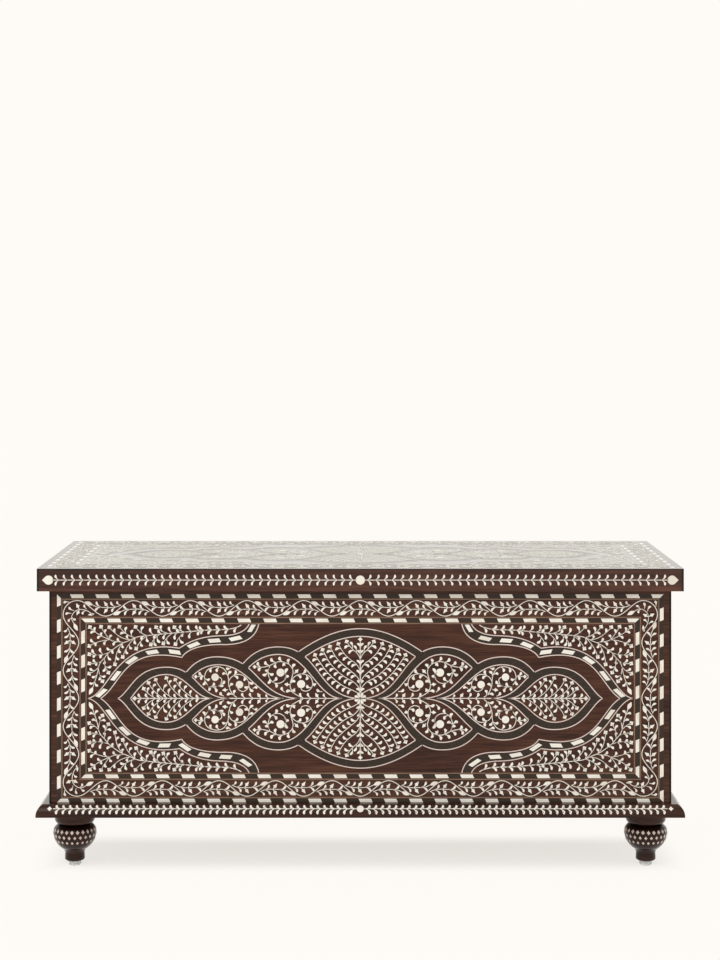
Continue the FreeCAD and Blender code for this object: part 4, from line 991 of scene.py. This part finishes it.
def vineLoop(halfU, halfV, look):
    # a wave that runs round the middle of the strip, with a sprig in every half wave
    shapes, thread = [], []
    straightSprig = sprig(sprigParts, look)
    bendSprig = sprig(bendParts, look) + list(bendExtras)
    wide = look["sway"] + look["bend"]
    for quarter in range(4):
        turn = 1j ** quarter
        reach, across = (halfU, halfV) if quarter % 2 == 0 else (halfV, halfU)
        straight = reach - look["bend"]
        waves = round(2 * straight / look["wave"])
        length = 2 * straight / waves
        for step in range(waves * look["steps"] + 1):
            part = step / look["steps"]
            sway = look["sway"] * math.cos(2 * math.pi * part)
            thread.append(turn * complex(straight - part * length, across + sway))
        for step in range(1, look["bendSteps"]):
            arc = cmath.rect(wide, math.pi / 2 * (1 + step / look["bendSteps"]))
            thread.append(turn * (complex(-straight, across - look["bend"]) + arc))
        for half in range(1, 2 * waves):
            middle = complex(straight - half * length / 2 - look["lag"], across)
            sizes = (length / look["wave"], 1 if half % 2 else -1)
            for shape in straightSprig:
                shapes.append(moved(shape, lambda point: turn * (middle + stretched(point, sizes))))
        bend = complex(-reach, across)
        shapes += [moved(shape, lambda point: turn * (bend + point)) for shape in bendSprig]
    return shapes + [strip(thread, look["thread"], True)]


def frameLine(halfU, halfV, width):
    # a thin mitred string round a rectangle
    shapes = []
    for quarter in range(4):
        u, v = (halfU, halfV) if quarter % 2 == 0 else (halfV, halfU)
        corners = ((-u, v), (-u - width, v + width), (u + width, v + width), (u, v))
        shapes.append({"outline": [spot * 1j ** quarter for spot in placedAll(corners)]})
    return shapes


stemLook = {"width": 1.15, "start": 12, "leave": 3.5, "gap": 0.2, "bend": 0.16}


def straightVine(length, look):
    # a stem from the disc in the middle out to both ends, with pairs of leaves that point outwards
    shapes = []
    first, last = -length + stemLook["start"], -look["disc"] - stemLook["leave"]
    count = round((last - first) / look["pitch"])
    for step in range(count + 1):
        joint = first + (last - first) * step / count
        for side, reach in ((1, look["rise"]), (-1, look["fall"])):
            top = complex(joint - look["back"], reach * side)
            shapes.append(profiled(joint, top, look["leaf"], comma, stemLook["bend"] * side))
    shapes.append(strip([-length, -look["disc"] - stemLook["gap"]], stemLook["width"]))
    return shapes + flipped(shapes, -1, 1)


# laying flat shapes on the trunk
def lay(name, body, look, shapes, spot, height, sink=0.15):
    # height is how far the polished face stands out, sink how deep the sides go in, in millimetres
    points, faces = [], []
    for shape in shapes:
        start = len(points)
        if "outline" in shape:
            outline = shape["outline"]
            if sum(cross(a, b) for a, b in zip(outline, outline[1:] + outline[:1])) < 0:
                outline = outline[::-1]
            count = len(outline)
            lines = ((outline, height), (outline, -sink))
            faces.append(tuple(range(start, start + count)))
            for step in range(count):
                a, b = start + step, start + (step + 1) % count
                faces.append((a, a + count, b + count, b))
        else:
            left, right = shape["left"], shape["right"]
            middle = len(left) // 2
            if cross(left[middle] - left[max(middle - 1, 0)], left[middle] - right[middle]) < 0:
                left, right = right, left
            count = len(left)
            lines = ((left, height), (right, height), (left, -sink), (right, -sink))
            for step in range(count if shape["closed"] else count - 1):
                a, b = start + step, start + (step + 1) % count
                faces.append((a, a + count, b + count, b))
                faces.append((a, b, b + 2 * count, a + 2 * count))
                faces.append((a + count, a + 3 * count, b + 3 * count, b + count))
            if not shape["closed"]:
                last = start + count - 1
                faces.append((start, start + 2 * count, start + 3 * count, start + count))
                faces.append((last, last + count, last + 3 * count, last + 2 * count))
        for line, level in lines:
            points += [spot(point.real, point.imag, level) for point in line]
    mesh = bpy.data.meshes.new(name)
    mesh.from_pydata(points, [], faces)
    mesh.validate()
    mesh.materials.append(look)
    piece = bpy.data.objects.new(name, mesh)
    bpy.context.collection.objects.link(piece)
    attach(piece, body)
    return piece


borderLook = {
    "edge": 1.0, "band": 6.4, "string": 2.0, "margin": 12.2, "fieldHeight": 254.0, "fieldRise": 199.3,
    "proud": 0.25, "stringProud": 0.12, "jointProud": 0.08,
}
borderReach = borderLook["edge"] * 4 + borderLook["band"] * 2 + borderLook["string"] * 3 + vineLook["width"]
frontLow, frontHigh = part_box("front_panel")
lidLow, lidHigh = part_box("lid_front_rail")
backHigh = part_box("back_panel")[1]
railLow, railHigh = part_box("lid_left_rail")
mouldLow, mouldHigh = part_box("base_moulding_front")
trunkMiddle = (frontLow[1] + backHigh[1]) / 2
lidMiddle = (railLow[1] + railHigh[1]) / 2
halfLength, halfDepth = frontHigh[0] / mm, (backHigh[1] - frontLow[1]) / 2 / mm
lidHalfLength, lidHalfDepth = lidHigh[0] / mm, (railHigh[1] - railLow[1]) / 2 / mm
directions = {  # right, up and out of each face
    "Front": ((1, 0, 0), (0, 0, 1), (0, -1, 0)), "Left": ((0, -1, 0), (0, 0, 1), (-1, 0, 0)),
    "Right": ((0, 1, 0), (0, 0, 1), (1, 0, 0)), "Top": ((1, 0, 0), (0, 1, 0), (0, 0, 1)),
}


def onFace(origin, side):
    def spot(u, v, h):
        axes = zip(origin, *directions[side])
        return tuple(start + (a * u + b * v + c * h) * mm for start, a, b, c in axes)
    return spot


def around(front, endX, middle, rise):
    origins = {"Front": (0, front, rise), "Left": (-endX, middle, rise), "Right": (endX, middle, rise)}
    return {side: onFace(origin, side) for side, origin in origins.items()}


boxSides = around(frontLow[1], frontHigh[0], trunkMiddle, frontLow[2] + borderLook["fieldRise"] * mm)
lidSides = around(lidLow[1], lidHigh[0], lidMiddle, (lidLow[2] + lidHigh[2]) / 2)
mouldSides = around(frontLow[1], frontHigh[0], trunkMiddle, mouldLow[2])
onTop = onFace((0, lidMiddle, lidHigh[2]), "Top")


def borderInlay(face, body, half, spot, pale, stringLook):
    # three tan strings and the vine between the dashed borders
    string = borderLook["string"]
    band = borderLook["band"] + 2 * borderLook["edge"]
    halfU, halfV = half
    strings = []
    for inset in (0, string + band, 2 * string + band + vineLook["width"]):
        strings += frameLine(halfU + inset, halfV + inset, string)
    lay(f"{face}Strings", body, stringLook, strings, spot, borderLook["stringProud"])
    middle = 2 * string + band + vineLook["width"] / 2
    vine = vineLoop(halfU + middle, halfV + middle, vineLook)
    lay(f"{face}Vine", body, pale, vine, spot, borderLook["proud"])


def longFace(face, body, half, spot, pale, thread, stringLook):
    stretch = (half[0] / drawnHalf[0], half[1] / drawnHalf[1])
    borderInlay(face, body, half, spot, pale, stringLook)
    chain = ("tip", "second", "third", "centre")
    leaves = tipFilling(stretch) + scrollFilling("second", stretch) + scrollFilling("third", stretch)
    leaves += fanFilling(stretch)
    corner, cornerThreads, dashes = cornerFilling(stretch)
    threads = medallionLines(chain, stretch) + cornerThreads
    joints = bandJoints(chain, stretch)
    lay(f"{face}Joints", body, seam, joints, spot, borderLook["jointProud"])
    lay(f"{face}Threads", body, thread, threads, spot, borderLook["proud"])
    lay(f"{face}Sprays", body, pale, leaves + corner, spot, borderLook["proud"])
    lay(f"{face}CornerDashes", body, pale, dashes, spot, borderLook["proud"])
    print(face, "inlay:", len(leaves), "medallion pieces,", len(corner), "corner pieces")


def fieldHalf(half):
    return half - borderLook["margin"] - borderReach


frontHalf = (fieldHalf(halfLength), borderLook["fieldHeight"] / 2)
endHalf = (fieldHalf(halfDepth), borderLook["fieldHeight"] / 2)
lidHalf = (fieldHalf(lidHalfLength), fieldHalf(lidHalfDepth))
longFace("front", "chest", frontHalf, boxSides["Front"], bone, boneThread, tan)
longFace("lidTop", "lid", lidHalf, onTop, topBone, topThread, topTan)

endLook = {
    "tips": (14, 23, 32, 41, 49), "under": 9,  # buds under these points of the leaf outline
    "axis": (4, 13), "axisWide": 1.5, "endBud": 4.6, "lead": -0.7 + 0.7j, "lean": 0.55, "rest": 5,
    "root": 0.4, "stem": 1.1, "bud": 4.0, "budTurn": 0.6, "gap": 6, "main": 1.4,
    "fieldBud": 4.2, "stemSkip": 10.0, "mainSkip": 3.0,
    "field": (-2, 8),  # the right and lower edges of the ground round the leaves
    "mainStart": ((6, 20), (13, 46), (27, 78), (50, 100)), "mainEnd": (-34, -5),
    "sprays": (  # buds in shares of the half field, and how far along the main stem theirs leave it
        ((-0.94, 0.5), 0.12), ((-0.94, 0.67), 0.22), ((-0.94, 0.82), 0.33), ((-0.93, 0.955), 0.44),
        ((-0.79, 0.955), 0.52), ((-0.65, 0.955), 0.6), ((-0.5, 0.955), 0.68)),
}
endDress = {
    "spacing": 10.8, "lean": 42, "lengths": (10, 9, 8, 7), "start": 4.0, "skip": 10.0, "width": 4.5,
    "sides": (-1, 1)}
axisDress = {
    "spacing": 11.0, "lean": 50, "lengths": (9, 8, 7, 6), "start": 6.0, "skip": 4.0, "width": 4.4,
    "sides": (-1,)}
fieldDress = {"spacing": 10.8, "lean": 42, "lengths": (10.5, 9.4, 8.2, 7), "start": 5.0, "width": 4.5}


def endFilling(stretch):
    look = endLook
    ground = Ground(medallionOutline("third", "inner", stretch))
    outline = halfOutline("third", "inner")
    ends = (outline[-1].real - look["axis"][0], outline[0].real + look["axis"][1])
    axis = [u * stretch[0] for u in ends]
    ground.mark(axis, groundLook["axis"])
    stems = []
    for step in look["tips"]:
        tip = stretched(outline[step], stretch) - 1j * look["under"]
        root = min(tip.real + look["lean"] * tip.imag, axis[0] - look["rest"])
        stems.append(branch(complex(root, look["root"]), look["lead"], tip))
    for stem in stems:
        ground.stem(stem, look["stem"])
        ground.bud(stem[-1], look["bud"], look["budTurn"])
    for stem in stems:
        ground.dress(stem, **endDress)
    ground.dress(fine(axis), **axisDress)
    return bothLeaves(ground.shapes, [strip(axis, look["axisWide"]), bud(axis[1], look["endBud"])])


def shortFace(face, body, half, spot):
    look = endLook
    borderInlay(face, body, half, spot, bone, tan)
    stretch = ((half[0] - look["gap"]) / -medallions["third"]["outer"][0], half[1] / drawnHalf[1])
    threads = medallionLines(("third", "centre"), stretch)
    leaves = endFilling(stretch) + fanFilling(stretch)
    right, low = look["field"]
    edge = placedAll(((-half[0], low), (-half[0], half[1]), (right, half[1]), (right, low)))
    ground = Ground(edge, [medallionOutline(name, "outer", stretch) for name in ("third", "centre")])
    end = complex(look["mainEnd"][0], half[1] + look["mainEnd"][1])
    main = smooth([complex(-half[0] + u, v) for u, v in look["mainStart"]] + [end])
    ground.stem(main, look["main"])
    stems = []
    for share, place in look["sprays"]:
        stems.append(branch(*along(main, place * lineLength(main)), placed(share, half)))
    for stem in stems:
        ground.stem(stem)
        ground.bud(stem[-1], look["fieldBud"], look["budTurn"])
    for stem in stems:
        ground.dress(stem, skip=look["stemSkip"], **fieldDress)
    ground.dress(main, skip=look["mainSkip"], **fieldDress)
    lay(f"{face}Threads", body, boneThread, threads, spot, borderLook["proud"])
    lay(f"{face}Sprays", body, bone, leaves + fourWays(ground.shapes), spot, borderLook["proud"])
    print(face, "inlay:", len(leaves), "pieces")


shortFace("leftEnd", "chest", endHalf, boxSides["Left"])
shortFace("rightEnd", "chest", endHalf, boxSides["Right"])

edgeLook = {
    "pitch": 13.75, "rise": 9.2, "fall": 9.2, "back": 6.6, "leaf": 3.9, "disc": 7.8, "discSides": 24,
    "rest": 20.0, "gap": 6}


def edgeVine(side, half):
    look = edgeLook
    reach = half - look["rest"]
    shapes = straightVine(reach - look["gap"], look)
    shapes += [pointedDisc(-reach, look["disc"], 1), pointedDisc(reach, look["disc"], -1)]
    shapes.append(disc(0, look["disc"], look["discSides"]))
    lay(f"lid{side}Vine", "lid", bone, shapes, lidSides[side], borderLook["proud"])


mouldLook = {
    "flat": 10.0, "nose": 2.5, "stem": 15.4, "pitch": 11.5, "rise": 6.5, "fall": 9.3, "back": 7.2,
    "leaf": 4.7, "disc": 6.0, "bud": 4.2, "gap": 6, "frontRest": 3, "endRest": 8,
}


def roundOver(run, fall):
    # the radius of an arc that leaves a line square and falls so far over its run
    return (run ** 2 + fall ** 2) / (2 * run)


mouldReach = (frontLow[1] - mouldLow[1]) / mm
mouldHeight = (mouldHigh[2] - mouldLow[2]) / mm
mouldRound = roundOver(mouldReach - mouldLook["flat"], mouldHeight - mouldLook["nose"])


def mouldVine(side, half):
    look = mouldLook

    def spot(u, v, h):
        # the flat face bent over the rounded front of the moulding
        ray = cmath.rect(mouldRound + h, (v + look["stem"] - look["nose"]) / mouldRound)
        return mouldSides[side](u, look["nose"] + ray.imag, mouldReach - mouldRound + ray.real)

    shapes = straightVine(half - look["gap"], look)
    shapes += [bud(-half, look["bud"]), bud(half, look["bud"]), slicedDisc(0, look["disc"])]
    lay(f"moulding{side}Vine", "chest", bone, shapes, spot, borderLook["proud"])


endRun = halfDepth - mouldLook["endRest"]
for side, half in (("Front", lidHalfLength), ("Left", lidHalfDepth), ("Right", lidHalfDepth)):
    edgeVine(side, half)
for side, half in (("Front", halfLength - mouldLook["frontRest"]), ("Left", endRun), ("Right", endRun)):
    mouldVine(side, half)
print("lid edges and moulding inlaid")

footLook = {
    "neck": 26.3, "neckRise": 71.5, "belly": 37.0, "bellyRise": 57.5, "calf": 20.5, "calfRise": 28.5,
    "rows": (62.4, 53.4, 44.2), "count": 24, "halfWide": 3.1, "halfTall": 3.4,
    "narrower": 0.12, "lower": 0.1, "proud": 0.3, "sink": 0.5,
}
bellyRound = roundOver(footLook["belly"] - footLook["calf"], footLook["bellyRise"] - footLook["calfRise"])
shoulderRound = roundOver(footLook["belly"] - footLook["neck"], footLook["neckRise"] - footLook["bellyRise"])


def footLozenges(name):
    look = footLook
    low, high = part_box(name)
    centre = ((low[0] + high[0]) / 2, (low[1] + high[1]) / 2)

    def spot(u, v, h):
        # u is the turn about the foot, v the height
        fall = look["bellyRise"] - v
        curve = bellyRound if fall > 0 else shoulderRound
        tilt = math.asin(fall / curve)
        out = (look["belly"] - curve + math.sqrt(curve ** 2 - fall ** 2) + h * math.cos(tilt)) * mm
        return centre[0] + out * math.sin(u), centre[1] - out * math.cos(u), (v - h * math.sin(tilt)) * mm

    shapes = []
    for row, rise in enumerate(look["rows"]):
        reach = look["belly"] - bellyRound + math.sqrt(bellyRound ** 2 - (look["bellyRise"] - rise) ** 2)
        wide = look["halfWide"] / reach * (1 - look["narrower"] * row)
        tall = look["halfTall"] * (1 - look["lower"] * row)
        for step in range(look["count"]):
            middle = complex(2 * math.pi * (step + 0.5 * (row % 2)) / look["count"], rise)
            shapes.append({"outline": [middle - wide, middle - 1j * tall, middle + wide, middle + 1j * tall]})
    piece = name.replace("_", "") + "Lozenges"
    lay(piece, "chest", footBone, shapes, spot, look["proud"], look["sink"])


for name in ("foot_front_left", "foot_front_right", "foot_back_left", "foot_back_right"):
    footLozenges(name)
print("feet inlaid")

# floor, light and camera
stageLook = {
    "pale": (0.9912, 0.9647, 0.9216), "matt": (0.97, 0.97, 0.97), "half": 14.0,
    "plain": 0.73, "plainer": 0.25,
    # where the soft shadow ends: towards the back, the front and the sides
    "back": (-0.045, 0.045), "front": (-0.155, -0.24), "sides": (0.5, 0.58),
}


def seenRays(tree):
    # 1 for what is seen directly, in a polished face or through plastic
    kinds = ("Camera", "Glossy", "Transmission")
    return sum(tree.node("ShaderNodeLightPath", None, None, f"Is {kind} Ray") for kind in kinds)


def paleGround(look):
    # seen directly or in a polished face the floor is mostly plain, and the rest of it takes the soft shadow
    made = bpy.data.materials.new("paleFloor")
    made.use_nodes = True
    made.node_tree.nodes.remove(made.node_tree.nodes["Principled BSDF"])
    tree = Shade(made.node_tree)
    place = tree.coordinate("Object")
    across, depth = abs(place.axis("X")), place.axis("Y")
    back, front = (depth.fade(*look[key], curve="SMOOTHSTEP") for key in ("back", "front"))
    sides = across.fade(*look["sides"], curve="SMOOTHSTEP")
    share = look["plain"] + back.larger(front).larger(sides) * look["plainer"]
    matt = tree.node("ShaderNodeBsdfDiffuse", None, {"Color": opaque(look["matt"])}, "BSDF")
    plain = tree.node("ShaderNodeEmission", None, {"Color": opaque(look["pale"])}, "Emission")
    both = tree.node("ShaderNodeMixShader", None, {0: seenRays(tree) * share, 1: matt, 2: plain}, "Shader")
    tree.fill(made.node_tree.nodes["Material Output"], {"Surface": both})
    return made


half = stageLook["half"]
floorMesh = bpy.data.meshes.new("floor")
corners = [(-half, -half, 0), (half, -half, 0), (half, half, 0), (-half, half, 0)]
floorMesh.from_pydata(corners, [], [(0, 1, 2, 3)])
floorMesh.materials.append(paleGround(stageLook))
floor = bpy.data.objects.new("floor", floorMesh)
bpy.context.collection.objects.link(floor)

skyLook = {"level": 0.68, "rise": 0.5, "behind": (0.3, 1.0, 0.0, 0.4)}
world = bpy.data.worlds.new("softRoom")
bpy.context.scene.world = world
world.use_nodes = True
sky = Shade(world.node_tree)
direction = sky.coordinate("Generated")
seen = seenRays(sky)
behind = direction.axis("Y").fade(*skyLook["behind"])
strength = seen + (1 - seen) * (skyLook["level"] + direction.axis("Z") * skyLook["rise"] + behind)
sky.fill(world.node_tree.nodes["Background"], {"Color": opaque(stageLook["pale"]), "Strength": strength})

lampLook = {"place": (-1.2, -2.6, 2.6), "aim": (0, 0, 0.3), "size": (2.0, 1.6), "power": 26}
lamp = bpy.data.lights.new("keyLamp", "AREA")
lamp.shape = "RECTANGLE"
lamp.size, lamp.size_y = lampLook["size"]
lamp.energy = lampLook["power"]
holder = bpy.data.objects.new("keyLamp", lamp)
holder.location = lampLook["place"]
beam = Vector(lampLook["aim"]) - Vector(lampLook["place"])
holder.rotation_euler = beam.to_track_quat("-Z", "Y").to_euler()
bpy.context.collection.objects.link(holder)

cameraLook = {
    "distance": 3.454, "height": 0.9269, "focal": 76.2, "sensor": 36, "shift": -0.15875, "side": -0.0005}
camera = bpy.data.cameras.new("camera")
camera.lens = cameraLook["focal"]
camera.sensor_width = cameraLook["sensor"]
camera.shift_y = cameraLook["shift"]
viewer = bpy.data.objects.new("camera", camera)
viewer.location = (cameraLook["side"], lidLow[1] - cameraLook["distance"], cameraLook["height"])
viewer.rotation_euler = (math.pi / 2, 0, 0)
bpy.context.collection.objects.link(viewer)
bpy.context.scene.camera = viewer
bpy.context.scene.view_settings.view_transform = "Standard"
